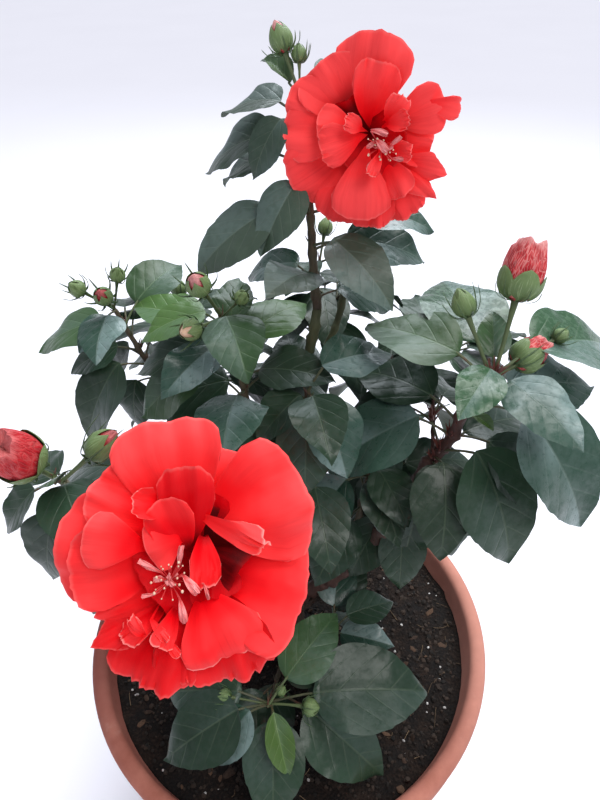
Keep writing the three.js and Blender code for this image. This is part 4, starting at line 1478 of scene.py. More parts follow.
def compost_material() -> Material:
    """Near-black moist compost, browner where it is dry.

    Returns:
        The material.
    """
    g = Graph("compost")
    spot = g.spot()
    cloud = g.noise(spot, 60.0, 5.0, 0.65)
    fine = g.noise(spot, 500.0, 4.0, 0.7)
    colour = g.mix(g.fit(fine * 0.5 + cloud * 0.5, 0.42, 0.68), (0.006, 0.0045, 0.004), (0.032, 0.021, 0.016))
    height = fine * 0.6 + g.cells(spot, 330.0) * 0.7
    return g.finish(Base_Color=colour, Specular_IOR_Level=0.2, Roughness=g.fit(cloud, 0.35, 0.65, 0.7, 0.95),
                    Normal=g.bump(height, 0.0016, 0.9))


def crumb_material(name: str, deep: Colour, lit: Colour) -> Material:
    """Loose bits on the compost, from one colour to another by the bit.

    Args:
        name: the material's name.
        deep: the darkest bits.
        lit: the lightest bits.

    Returns:
        The material.
    """
    g = Graph(name)
    chance = g.place()[2]
    fine = g.noise(g.spot(), 700.0, 3.0)
    colour = g.mix(chance * 0.7 + (fine - 0.5) * 0.6, deep, lit)
    return g.finish(Base_Color=colour, Roughness=0.9, Normal=g.bump(fine, 0.0006, 0.8))


def floor_material() -> Material:
    """A pale plain floor.

    Returns:
        The material.
    """
    g = Graph("pale_floor")
    cloud = g.noise(g.spot(), 1.4, 2.0)
    return g.finish(Base_Color=g.mix(cloud, (0.86, 0.86, 0.91), (0.90, 0.90, 0.95)), Roughness=0.85)


# Pot and compost
@dataclass(frozen=True)
class PotSizes:
    """Sizes of the pot in millimetres."""

    foot: float = 132
    mouth: float = 175
    band_height: float = 44
    band_step: float = 7
    rim_draft: float = 3
    rounding: float = 7
    inner_foot: float = 165
    inner_floor: float = 268
    sides: int = 144


class Pot:
    """The clay pot, drawn up ring by ring."""

    def __init__(self, sizes: PotSizes) -> None:
        """Keeps the sizes."""
        self.sizes = sizes

    def profile(self) -> list:
        """Rings of the pot as radius and height, up the outside, over the rim and down.

        Returns:
            The rings, in millimetres.
        """
        p = self.sizes
        rim, top = POT_RIM, POT_HEIGHT
        foot = [(p.foot - 2.2, 0.5), (p.foot - 0.8, 1.4), (p.foot, 3.2)]
        band_foot = top - p.band_height
        under = rim - p.rim_draft - p.band_step
        wall = [(p.foot + (under - p.foot) * k / 12, 3.2 + (band_foot - 6 - 3.2) * k / 12)
                for k in range(1, 13)]
        step = [(under + 0.6, band_foot - 3), (under + 2.2, band_foot - 1), (under + 4.6, band_foot),
                (under + 6, band_foot + 0.8), (under + 7, band_foot + 3)]
        band = [(rim - 2.4 + 1.9 * k / 4, band_foot + 3 + (p.band_height - 14) * k / 4)
                for k in range(1, 5)]
        lip = [(rim - p.rounding + p.rounding * math.cos(a), top - p.rounding + p.rounding * math.sin(a))
               for a in np.radians([0, 15, 30, 45, 60, 75, 90])]
        inner = [(p.mouth + p.rounding - p.rounding * math.sin(a),
                  top - p.rounding + p.rounding * math.cos(a)) for a in np.radians([0, 22, 45, 68, 90])]
        down = [(p.mouth - 1.5, top - 14), (SOIL_RIM + 0.4, SOIL_LEVEL), (p.inner_foot, p.inner_floor)]
        return foot + wall + step + band + lip + inner + down

    def build(self) -> Thing:
        """Extrudes and scales a filled circle along the profile.

        Returns:
            The object.
        """
        rings = self.profile()
        radius, height = self.sizes.foot - 4, 0.0
        bpy.ops.mesh.primitive_circle_add(vertices=self.sizes.sides, radius=radius * MM, fill_type="NGON")
        pot = bpy.context.object
        pot.name = "clay_pot"
        bpy.ops.object.mode_set(mode="EDIT")
        bpy.ops.mesh.select_all(action="SELECT")
        for new_radius, new_height in rings:
            lift = (0, 0, (new_height - height) * MM)
            bpy.ops.mesh.extrude_region_move(TRANSFORM_OT_translate={"value": lift})
            share = new_radius / radius
            bpy.ops.transform.resize(value=(share, share, 1), center_override=(0, 0, new_height * MM))
            radius, height = new_radius, new_height
        bpy.ops.mesh.select_all(action="SELECT")
        bpy.ops.mesh.normals_make_consistent(inside=False)
        bpy.ops.object.mode_set(mode="OBJECT")
        select_only(pot)
        bpy.ops.object.shade_smooth_by_angle(angle=math.radians(50))
        pot.data.materials.append(clay_material())
        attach(pot, "root")
        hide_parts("pot")
        LOG.info("%s: %d faces", pot.name, len(pot.data.polygons))
        return pot


@dataclass(frozen=True)
class CompostSizes:
    """Sizes of the compost in millimetres, and the counts of loose bits on it."""

    depth: float = 14
    sides: int = 150
    rings: int = 56
    clump: float = 5.0
    crumb: float = 2.6
    mound: float = 4.0
    mound_spread: float = 900.0
    lump: tuple = (5, 6)
    lump_rough: tuple = (0.7, 1.25)
    lump_tilt: float = 0.35
    fibre_girth: tuple = (0.35, 0.18)
    crumbs: int = 2600
    chips: int = 170
    grains: int = 150
    fibres: int = 90


class Compost:
    """The compost's top, and the loose bits that lie on it."""

    def __init__(self, sizes: CompostSizes) -> None:
        """Keeps the sizes."""
        self.sizes = sizes
        self.chance = np.random.default_rng(41)

    def rise(self, x: float, y: float) -> float:
        """How far the compost's surface stands over its level.

        Args:
            x: the place to the right of the pot's axis, in millimetres.
            y: the place behind it.

        Returns:
            The height in millimetres.
        """
        s = self.sizes
        broad = noise.noise(Vector((x * 0.012, y * 0.012, 3.1))) * 3.0
        clumps = noise.noise(Vector((x * 0.055, y * 0.055, 7.7))) * s.clump * 0.6
        crumbs = abs(noise.noise(Vector((x * 0.16, y * 0.16, 1.3)))) * s.crumb
        mound = s.mound * math.exp(-(x * x + y * y) / s.mound_spread)
        return broad * 0.5 + clumps + crumbs + mound - 1.5

    def build_bed(self) -> Thing:
        """Insets a flat cylinder into rings and lifts their points into clods.

        Returns:
            The object.
        """
        s = self.sizes
        radius = SOIL_RIM + 0.8
        bpy.ops.mesh.primitive_cylinder_add(
            vertices=s.sides, radius=radius * MM, depth=s.depth * MM, end_fill_type="NGON",
            location=(0, 0, (SOIL_LEVEL - s.depth / 2) * MM))
        bed = bpy.context.object
        bed.name = "compost_bed"
        bpy.ops.object.transform_apply(location=True, rotation=False, scale=False)
        bpy.ops.object.mode_set(mode="EDIT")
        bpy.ops.mesh.select_mode(type="FACE")
        bpy.ops.mesh.select_all(action="DESELECT")
        bpy.ops.object.mode_set(mode="OBJECT")
        for face in bed.data.polygons:
            face.select = face.normal.z > 0.9
        bpy.ops.object.mode_set(mode="EDIT")
        for _ in range(s.rings):
            bpy.ops.mesh.inset(thickness=radius * MM / (s.rings + 1.5), depth=0)
        bpy.ops.object.mode_set(mode="OBJECT")
        top = SOIL_LEVEL * MM
        for vertex in bed.data.vertices:
            if vertex.co.z > top - 0.0005:
                x, y = vertex.co.x / MM, vertex.co.y / MM
                vertex.co.z = top + self.rise(x, y) * MM
        select_only(bed)
        bpy.ops.object.shade_smooth()
        bed.data.materials.append(compost_material())
        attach(bed, "root")
        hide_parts("soil")
        LOG.info("%s: %d faces", bed.name, len(bed.data.polygons))
        return bed

    def spots(self, count: int, near: float = 16.0, far: float = SOIL_RIM - 4) -> Array:
        """Deals places out over the compost's surface, evenly by area.

        Args:
            count: how many there are.
            near: their least distance from the pot's axis.
            far: their greatest.

        Returns:
            An array of the places.
        """
        off = np.sqrt(self.chance.uniform(near ** 2, far ** 2, count))
        turn = self.chance.uniform(0, 2 * math.pi, count)
        x, y = off * np.cos(turn), off * np.sin(turn)
        return np.array([(a, b, SOIL_LEVEL + self.rise(a, b)) for a, b in zip(x, y)])

    def lumps(self, count: int, sizes: tuple, stretch: tuple) -> Array:
        """Points of rough lumps, as rings.

        Args:
            count: how many there are.
            sizes: smallest and largest radius.
            stretch: how much longer and how much flatter they are than round.

        Returns:
            An array of the lumps' points.
        """
        spots = self.spots(count)
        size = self.chance.uniform(*sizes, count) * self.chance.uniform(0.6, 1, count)
        s = self.sizes
        along, turn = round_grid(*s.lump)
        rows = along * math.pi
        shape = np.stack([np.sin(rows) * np.cos(turn), np.sin(rows) * np.sin(turn), np.cos(rows)], -1)
        rough = self.chance.uniform(*s.lump_rough, (count, *along.shape, 1))
        rough[:, :, -1] = rough[:, :, 0]
        x, y, z = np.moveaxis(shape * rough * vec(stretch[0], 1, stretch[1]), -1, 0)
        heading = self.chance.uniform(0, 2 * math.pi, count)[:, None, None]
        tilt = self.chance.normal(0, s.lump_tilt, count)[:, None, None]
        x, z = x * np.cos(tilt) + z * np.sin(tilt), z * np.cos(tilt) - x * np.sin(tilt)
        turned = np.stack([x * np.cos(heading) - y * np.sin(heading),
                           x * np.sin(heading) + y * np.cos(heading), z], -1)
        return spots[:, None, None] + turned * size[:, None, None, None] + vec(0, 0, 0.2)

    def build_bits(self) -> Thing:
        """Joins crumbs, bark chips, perlite and fibres.

        Returns:
            The object.
        """
        s = self.sizes
        piece = Piece("compost_bits", [
            crumb_material("crumb", (0.006, 0.005, 0.004), (0.060, 0.038, 0.026)),
            crumb_material("bark_chip", (0.030, 0.016, 0.010), (0.170, 0.095, 0.055)),
            crumb_material("perlite", (0.42, 0.40, 0.38), (0.80, 0.78, 0.76)),
            crumb_material("fibre", (0.060, 0.036, 0.020), (0.300, 0.210, 0.120))])
        for slot, count, sizes, stretch in ((0, s.crumbs, (0.8, 3.0), (1.2, 0.75)),
                                            (1, s.chips, (1.6, 4.5), (2.0, 0.35)),
                                            (2, s.grains, (0.7, 1.7), (1.1, 0.9))):
            points = self.lumps(count, sizes, stretch)
            mark = np.zeros(points.shape)
            mark[..., 2] = self.chance.uniform(0, 1, (count, 1, 1))
            piece.add_rings(points, slot, mark)
        for spot in self.spots(s.fibres):
            heading = self.chance.uniform(0, 360)
            run = self.chance.uniform(6, 20)
            end = spot + towards(heading, self.chance.uniform(-3, 8)) * run
            middle = (spot + end) / 2 + self.chance.normal(0, 2.5, 3) * vec(1, 1, 0.3) + vec(0, 0, 1.5)
            path = curve(spot + vec(0, 0, 1.2), middle, end + vec(0, 0, 0.8), np.linspace(0, 1, 6))
            piece.add_tube(path, np.linspace(*s.fibre_girth, 6), 4, 3, (0, 0, self.chance.uniform()))
        return piece.make(["soil"], "compost", crease=35)

    def build(self) -> None:
        """Builds the bed and the bits."""
        self.build_bed()
        self.build_bits()


# Wood
@dataclass(frozen=True)
class WoodSizes:
    """Fineness of the trunk and boughs, and the relief of their bark, in millimetres."""

    trunk_sides: int = 40
    trunk_row: float = 1.4
    bough_sides: int = 20
    row: float = 2.2
    node_spacing: float = 15
    node_width: float = 2.6
    node_swell: float = 0.13
    scar: float = 1.1
    scar_sharpness: float = 3
    wobble: float = 0.9
    wobble_run: float = 14
    slim: float = 0.74
    knobbly_girth: float = 0.35
    grain: float = 0.14
    grain_round: float = 1.6
    grain_along: float = 0.09


class Wood:
    """Trunk and boughs with swollen nodes, leaf scars and grain."""

    def __init__(self, plant: Plant, sizes: WoodSizes) -> None:
        """Keeps the plant and the sizes."""
        self.plant, self.sizes = plant, sizes
        self.chance = np.random.default_rng(7)

    def limb_points(self, limb: Limb, sides: int, row: float, lift: float) -> Array:
        """Points of a limb with its relief.

        Args:
            limb: the limb.
            sides: how many sides it has.
            row: distance between rows.
            lift: strength of its relief.

        Returns:
            The points, as rings.
        """
        z = self.sizes
        t = np.linspace(0, 1, max(6, round(limb.length / row)))
        run, turn = t * limb.length, np.linspace(0, 2 * math.pi, sides + 1)
        swell = [Swell(self.chance) for _ in range(3)]
        fade = np.sin(np.pi * t) ** 0.5
        aside = np.stack([w(run / z.wobble_run) for w in swell], -1) * (z.wobble * lift * fade)[:, None]
        slim = (1.0 if limb.flare[0] else z.slim) * (1.0 + z.knobbly_girth * max(lift - 1.0, 0.0))
        radius = slim * limb.radius(t)[:, None] * np.ones(sides + 1)
        at, k = self.chance.uniform(4, z.node_spacing), 0
        while at < limb.length - 3:
            near = np.exp(-((run - at) / z.node_width) ** 2)
            heading = math.radians(k * GOLDEN_ANGLE + 40)
            spread = np.exp(-(1 - np.cos(turn - heading)) * z.scar_sharpness)
            radius += near[:, None] * (limb.radius(at / limb.length) * z.node_swell
                                       + z.scar * lift * spread[None])
            at += z.node_spacing * self.chance.uniform(0.7, 1.3)
            k += 1
        grain = np.array([[noise.noise(Vector((math.cos(a) * z.grain_round, math.sin(a) * z.grain_round,
                                               height * z.grain_along + limb.length)))
                           for a in turn] for height in run])
        radius *= 1 + z.grain * lift * grain
        radius[:, -1] = radius[:, 0]
        return tube_points(limb.point(t) + aside, radius, sides)

    def build(self) -> Thing:
        """Joins trunk and boughs into one mesh.

        Returns:
            The object.
        """
        piece = Piece("trunk_and_boughs", [bark_material()])
        z = self.sizes
        for name, limb in self.plant.limbs.items():
            sides, row = (z.trunk_sides, z.trunk_row) if name == "trunk" else (z.bough_sides, z.row)
            lift, red = (1.8, 0.75) if name == "bough_right" else (1.0, 0.1)
            points = self.limb_points(limb, sides, row, lift)
            height = (points[..., 2] - SOIL_LEVEL) / 330
            green = np.clip(height * 0.8 if name == "leader" else height * 0.9 - 0.1, 0, 1)
            piece.add_rings(points, 0, np.stack([green, np.full_like(green, red), green * 0], -1))
        return piece.make(list(self.plant.limbs), "bark", crease=60)


# Foliage
@dataclass(frozen=True)
class BladeSizes:
    """Shape and fineness of a leaf's blade, and the girth of its petiole and stipules.

    Most are shares of the leaf's length or width. The thickness and the radii are in
    millimetres, and a girth is a row of shares of a radius.
    """

    rows: int = 32
    columns: int = 9
    shoulder: float = 0.56
    taper: float = 0.98
    tooth: float = 0.046
    teeth: float = 8.0
    teeth_from: float = 0.40
    tooth_edge: float = 14
    uneven: tuple = (0.93, 1.06)
    fold_spread: tuple = (0.8, 2.1)
    droop: float = 0.09
    cup: float = 0.2
    wave: float = 0.034
    ripple: float = 0.010
    twist: float = 0.10
    sway: float = 0.025
    thickness: float = 0.35
    midrib: float = 1.1
    young_fold: float = 0.9
    young_width: float = 0.72
    young_rise: float = 0.2
    petiole_radius: float = 1.05
    petiole_girth: tuple = (1.25, 1.05, 0.9, 0.86, 0.86, 0.95, 0.8)
    stipule_girth: tuple = (0.55, 0.5, 0.36, 0.14)


class Foliage:
    """Leaves, petioles, stipules and twigs of the masses."""

    def __init__(self, plant: Plant, wood: Wood, sizes: BladeSizes) -> None:
        """Keeps what the foliage grows on.

        Args:
            plant: the grown plant.
            wood: where twigs get their relief.
            sizes: shape and fineness of the blades.
        """
        self.plant, self.wood, self.sizes = plant, wood, sizes
        self.chance = np.random.default_rng(23)
        self.masses = [mass.name for mass in plant.masses]

    def blade(self, leaf: Leaf) -> tuple:
        """Points and marks of a leaf's blade.

        Args:
            leaf: the leaf.

        Returns:
            The top and the under grid of points, and the marks: how far along and across
            each point is, and the leaf's own number.
        """
        z, c = self.sizes, self.chance
        s, q = grid(z.rows, z.columns)
        side, length = np.abs(q), leaf.length
        peak = z.shoulder / (z.shoulder + z.taper)
        full = peak ** z.shoulder * (1 - peak) ** z.taper
        width = LEAF.width / 2 * length * s ** z.shoulder * (1 - s) ** z.taper / full
        toothed = np.clip((s - z.teeth_from) * 6, 0, 1) * (s < 0.97)
        saw = (s * z.teeth + c.uniform()) % 1.0 - 0.5
        width = width * (1 + z.tooth * saw * toothed * side ** z.tooth_edge)
        wave, ripple = Swell(c, 3), Swell(c, 4)
        width = width * np.where(q < 0, c.uniform(*z.uneven), c.uniform(*z.uneven))
        young = leaf.tone is YOUNG
        fold = z.young_fold if young else LEAF.fold * c.uniform(*z.fold_spread)
        width = width * (z.young_width if young else 1.0)
        rise = (LEAF.arch * length * 4 * s * (1 - s) - c.uniform(0.0, z.droop) * length * s ** 3
                + fold * (np.sqrt(q * q + 0.02) - 0.14) * width - c.uniform(0, z.cup) * q * q * width
                + wave(s * 4 + np.sign(q) * 2) * side ** 1.6 * length * z.wave
                + ripple(s * 9 + np.sign(q) * 5) * side ** 2 * length * z.ripple)
        twist = c.normal(0, z.twist) * s
        sway = c.normal(0, z.sway) * length * s ** 2
        rise = rise + np.sin(twist) * q * width + (z.young_rise * length * s if young else 0)
        middle = (leaf.base + (s * length)[..., None] * leaf.forward
                  + rise[..., None] * leaf.face + (q * width + sway)[..., None] * leaf.across)
        body = np.sqrt(np.clip(1 - q * q, 0, 1)) * (0.55 + 0.45 * (1 - side) ** 2)
        midrib = 1 + z.midrib * (side < 0.1)
        thick = z.thickness / 2 * body * np.clip(np.minimum(s, 1 - s) * 12, 0, 1) * midrib
        lift = thick[..., None] * leaf.face
        return middle + lift, middle - lift, (s, q * width / length, c.uniform())

    def add_petiole(self, piece: Piece, leaf: Leaf) -> None:
        """Adds a leaf's petiole, thickest where it leaves the twig.

        Args:
            piece: the piece that it goes into.
            leaf: the leaf.
        """
        z, c = self.sizes, self.chance
        stalk = unit(leaf.base - leaf.root)
        reach = LEAF.petiole * leaf.length
        end = leaf.base + leaf.forward * 2.5
        middle = (leaf.root + leaf.base) / 2 + UP * reach * c.uniform(0.02, 0.1) + stalk * reach * 0.08
        path = curve(leaf.root, middle, end, np.linspace(0, 1, len(z.petiole_girth)))
        slim = 0.62 + 0.4 * min(leaf.length / 70, 1.1)
        green = 0.35 if leaf.tone in (DARK, GREY, HAZY) else 0.85
        piece.add_tube(path, z.petiole_radius * slim * vec(*z.petiole_girth), 6, 0,
                       (green, c.uniform(0, 0.6), 0))

    def add_stipules(self, piece: Piece, leaf: Leaf, count: int) -> None:
        """Adds thin upright stipules where a leaf's petiole leaves the twig.

        Args:
            piece: the piece that they go into.
            leaf: the leaf.
            count: how many there are. Many are long, dry and red.
        """
        z, c = self.sizes, self.chance
        girth = vec(*z.stipule_girth) * (1 + 0.06 * count)
        for _ in range(count):
            way = unit(towards(c.uniform(0, 360), c.uniform(35, 85)))
            run = c.uniform(3.5, 8.0 + count * 0.3)
            foot = leaf.root + way * 1.2 + UP * c.uniform(-2, 2)
            end = foot + way * run + UP * run * 0.25
            path = curve(foot, foot + way * run * 0.6, end, np.linspace(0, 1, len(girth)))
            piece.add_tube(path, girth, 4, 0,
                           (c.uniform(0, 0.7) * (count < 5), c.uniform(0, 1) + (count > 5), 0))

    def build_leaves(self) -> None:
        """Joins the blades into three pieces."""
        tones, masses = list(LEAF_FINISHES), self.plant.masses
        materials = [leaf_material(tone, finish) for tone, finish in LEAF_FINISHES.items()]
        materials.append(underside_material())
        for name, group in (("leaves_front", masses[:6]), ("leaves_middle", masses[6:11]),
                            ("leaves_back", masses[11:])):
            piece = Piece(name, materials)
            for mass in group:
                for leaf in mass.leaves:
                    top, under, mark = self.blade(leaf)
                    piece.add_sheet(top, under, (tones.index(leaf.tone), len(tones)), mark)
            piece.make([mass.name for mass in group], "foliage", crease=75)

    def build_twigs(self) -> None:
        """Joins stems, side twigs and bloom twigs, and then the petioles and stipules."""
        piece = Piece("twigs", [bark_material()])
        for mass in self.plant.masses:
            ruddy = mass.name == "foliage_right"
            green = 0.05 if ruddy else 0.55
            for limb in (mass.stem, *mass.side_twigs):
                lift = 2.4 if ruddy and limb is mass.stem else 0.8
                piece.add_rings(self.wood.limb_points(limb, 12, 1.6, lift), 0, (green, 1 - green, 0))
        for bloom in self.plant.blooms:
            piece.add_rings(self.wood.limb_points(bloom.twig, 12, 2.4, 0.4), 0, (0.8, 0.0, 0))
        piece.make(self.masses, "foliage", crease=60)
        stalks = Piece("petioles", [shoot_material()])
        for mass in self.plant.masses:
            for leaf in mass.leaves:
                self.add_petiole(stalks, leaf)
                self.add_stipules(stalks, leaf, 9 if mass.name == "foliage_right" else 2)
        stalks.make(self.masses, "foliage", crease=60)

    def build(self) -> None:
        """Builds the foliage."""
        self.build_leaves()
        self.build_twigs()


# Buds
@dataclass(frozen=True)
class BudLook:
    """How a kind of bud is built.

    It holds the share that the calyx covers, the material of its petals, how far the calyx
    stands off at its tips and how long the bracts are. The lobes and bracts have the width
    and power of their taper, and how far the bracts stand out at their bend and beyond it.
    """

    cover: float
    roll: int
    flare: float
    bracts: float
    ruffled: bool = False
    lobe: tuple = (2.3, 0.75)
    bract: tuple = (0.74, 0.5)


BUD_LOOKS = {
    GREEN: BudLook(1.0, 0, 0.0, 1.1),
    TIPPED: BudLook(0.97, 2, 0.02, 1.0),
    CREAM: BudLook(0.98, 3, 0.02, 1.0),
    FLUSHED: BudLook(0.97, 2, 0.0, 0.45),
    OPENING: BudLook(0.52, 2, 0.0, 0.35, True, (1.5, 0.55), (0.6, 0.14)),
    RUFFLED: BudLook(0.66, 2, 0.02, 0.95, True, (1.5, 0.55), (0.6, 0.14)),
}


@dataclass(frozen=True)
class BudSizes:
    """Fineness and counts of a bud's parts, and their thickness in millimetres."""

    roll: tuple = (22, 30)
    sheet: tuple = (12, 7)
    lobes: int = 5
    lobe_spread: float = 41
    lobe_thickness: float = 0.45
    bracts: int = 8
    bract_width: float = 1.15
    bract_thickness: float = 0.25
    stalk_share: float = 0.085
    stalk_widest: float = 1.5
    stalk_girth: tuple = (1.3, 1.0, 0.95, 0.95, 1.0, 1.1, 1.5, 2.0)


class Buds:
    """Buds with their stalks, bracts, calyx lobes and rolled petals."""

    def __init__(self, plant: Plant, sizes: BudSizes) -> None:
        """Keeps the plant and the sizes."""
        self.plant, self.sizes = plant, sizes
        self.chance = np.random.default_rng(31)

    def round_point(self, bud: Bud, s: Array, turn: Array, radius: Array) -> Array:
        """Places points round a bud's axis.

        Args:
            bud: the bud.
            s: how far from its foot to its tip they are.
            turn: their angle round the axis, in radians.
            radius: their distance from it.

        Returns:
            The points.
        """
        start = bud.stalk - bud.length / 2
        return (bud.root + (start + s * bud.length)[..., None] * bud.forward
                + (radius * np.cos(turn))[..., None] * bud.across
                + (radius * np.sin(turn))[..., None] * bud.side)

    def girth(self, look: BudLook, height: Array) -> Array:
        """How thick a bud is at a height.

        Args:
            look: how the bud is built.
            height: the height as a share of its length.

        Returns:
            The thickness as a share of its width.
        """
        if look.ruffled:
            low = np.sqrt(1 - (1 - np.clip(height / 0.34, 0, 1)) ** 2)
            return 1.12 * low * (1 - 0.36 * np.clip((height - 0.5) / 0.5, 0, 1) ** 1.5)
        return np.sin(np.pi * np.clip(height, 0, 1) ** 0.86) ** 0.72 * (1.0 - 0.2 * height)

    def body(self, bud: Bud, look: BudLook) -> None:
        """Adds the rolled petals, or the closed calyx of a green bud.

        Args:
            bud: the bud.
            look: how it is built.
        """
        s, turn = round_grid(*self.sizes.roll)
        height = s
        if look.ruffled:
            ring = np.clip(s / 0.8, 0, 1)
            folds = (4 * turn + ring * 5.0) / (2 * math.pi)
            girth = self.girth(look, ring) * (1 + 0.2 * (folds % 1.0 - 0.5) * np.clip(ring * 1.6, 0, 1))
            girth = girth * (1 + 0.10 * ring ** 5 * np.sin(turn * 5 + 2))
            girth = np.where(s > 0.8, girth * np.clip((1 - s) / 0.2, 0, 1) ** 0.8, girth)
            crest = 0.04 * np.sin(turn * 3 + 1) + 0.02 * np.sin(turn * 7)
            height = ring * (1 + crest * ring ** 6) - 0.13 * np.clip((s - 0.8) / 0.2, 0, 1)
        else:
            folds = (turn * 3 + s * 7) / (2 * math.pi) % 1.0 - 0.5
            girth = self.girth(look, s) * (1 + (0.22 * folds * s if look.roll else 0.05 * np.cos(5 * turn)))
            girth = girth * (0.9 + 0.07 * np.clip(s * 3, 0, 1))
        points = self.round_point(bud, height, turn, girth * bud.width / 2)
        mark = np.stack([s, np.abs(turn - math.pi), np.full_like(s, self.chance.uniform())], -1)
        self.piece.add_rings(points, look.roll, mark)

    def calyx(self, bud: Bud, look: BudLook) -> None:
        """Adds five pointed lobes that wrap the bud.

        Args:
            bud: the bud.
            look: how it is built.
        """
        z = self.sizes
        s, q = grid(*z.sheet)
        broad, power = look.lobe
        taper = np.clip(broad * (1 - s) ** power, 0, 1)
        for k in range(z.lobes):
            spread = math.radians(z.lobe_spread) * taper * np.clip(s * 5, 0.2, 1)
            turn = math.radians(360 / z.lobes * k + 20) + q * spread
            height = s * min(look.cover * self.chance.uniform(0.9, 1.06), 1.0)
            girth = self.girth(look, height) * (1.06 + 0.02 * height) * bud.width / 2 + 0.5
            girth = girth + 0.3 * (1 - q * q) + look.flare * bud.width * s ** 4
            thick = z.lobe_thickness * np.clip((1 - np.abs(q)) * 3, 0, 1)
            self.piece.add_sheet(self.round_point(bud, height, turn, girth),
                                 self.round_point(bud, height, turn, girth - thick), (0, 0),
                                 (s, q, self.chance.uniform()))

    def bracts(self, bud: Bud, look: BudLook) -> None:
        """Adds the thin bracts under the calyx, which curve out and up.

        Args:
            bud: the bud.
            look: how it is built.
        """
        z = self.sizes
        s, q = grid(*z.sheet)
        foot = bud.root + bud.forward * (bud.stalk - bud.length / 2 + 0.5)
        near, far = look.bract
        bend = near * np.sin(np.clip(s * 2.0, 0, 1.57)) + far * np.clip(s - 0.5, 0, 1)
        width = z.bract_width * (1 - s) ** 0.7 * np.clip(s * 8, 0.3, 1) + 0.08
        thick = (z.bract_thickness * np.clip(1 - np.abs(q), 0, 1))[..., None]
        for k in range(z.bracts):
            turn = math.radians(360 / z.bracts * k + self.chance.uniform(-12, 12))
            out = bud.across * math.cos(turn) + bud.side * math.sin(turn)
            side = np.cross(bud.forward, out)
            run = bud.length * look.bracts * self.chance.uniform(0.6, 0.95)
            outward = bud.width * self.chance.uniform(0.8, 1.1) * bend
            upward = run * (0.95 * s * s + 0.08 * s) - 0.1 * run * np.sin(s * math.pi)
            middle = (foot + outward[..., None] * out + upward[..., None] * bud.forward
                      + (q * width)[..., None] * side)
            lift = thick * unit(out - bud.forward * 0.4)
            self.piece.add_sheet(middle + lift, middle - lift, (1, 1), (s, q, self.chance.uniform()))

    def stem(self, bud: Bud) -> None:
        """Adds a bud's stalk, which thickens under the calyx.

        Args:
            bud: the bud.
        """
        end = bud.root + bud.forward * (bud.stalk - bud.length / 2 + bud.length * 0.12)
        middle = (bud.root + end) / 2 + self.chance.normal(0, 0.8, 3)
        z = self.sizes
        radius = min(bud.width * z.stalk_share, z.stalk_widest) * vec(*z.stalk_girth)
        path = curve(bud.root, middle, end, np.linspace(0, 1, len(radius)))
        self.piece.add_tube(path, radius, 8, 4, (0.9, 0.2, 0))

    def build(self) -> Thing:
        """Joins the buds into one mesh.

        Returns:
            The object.
        """
        self.piece = Piece("buds", [
            bud_material("calyx", (0.080, 0.140, 0.042), (0.190, 0.280, 0.100), (0.300, 0.390, 0.190)),
            bud_material("bract", (0.040, 0.085, 0.030), (0.100, 0.170, 0.060), (0.160, 0.240, 0.100)),
            rolled_material(),
            bud_material("cream_tip", (0.62, 0.270, 0.150), (0.82, 0.600, 0.400), (0.86, 0.72, 0.56)),
            shoot_material()])
        for mass in self.plant.masses:
            for bud in mass.buds:
                look = BUD_LOOKS[bud.kind]
                self.body(bud, look)
                self.calyx(bud, look)
                self.bracts(bud, look)
                self.stem(bud)
        names = [mass.name for mass in self.plant.masses if mass.buds]
        return self.piece.make(names, "foliage", crease=50)


# Blooms
@dataclass(frozen=True)
class Lobe:
    """A petal as it is modelled, in millimetres and degrees.

    Its foot is measured to the right, to the top and forward from the bloom's heart, and
    its angle is taken round the bloom's axis, both as seen from the front.
    """

    foot: tuple
    angle: float
    length: float
    width: float
    rises: tuple
    wave: float = 2.0
    crimp: float = 1.2
    turn: float = 9.0
    painted_light: float = 0.5
    cup: float = 0.12
    curl: float = 0.15
    sweep: float = 0.0
    tip: float = 2.4
    edged: bool = False
    pale: bool = False


@dataclass(frozen=True)
class Flower:
    """A bloom as it is modelled: its tuft's place, the painted light that it adds to all its petals, below 0
    painted shade, and its petals.
    """

    tuft: tuple
    painted_light: float
    outer: tuple
    inner: tuple


def throat(foot: tuple, angle: float, length: float, width: float, painted_light: float) -> Lobe:
    """A short broad petal that closes the bloom's throat from below; its last number paints it dark, as shade
    in the throat.
    """
    return Lobe(foot, angle, length, width, (58, 26), 0.6, 0.6, 0, painted_light)


def pale_blade(foot: tuple, angle: float, length: float, width: float, rises: tuple,
               cup: float, crimp: float, sweep: float = 0.0) -> Lobe:
    """A narrow pale blade of the tuft."""
    return Lobe(foot, angle, length, width, rises, cup=cup, crimp=crimp, sweep=sweep, pale=True)


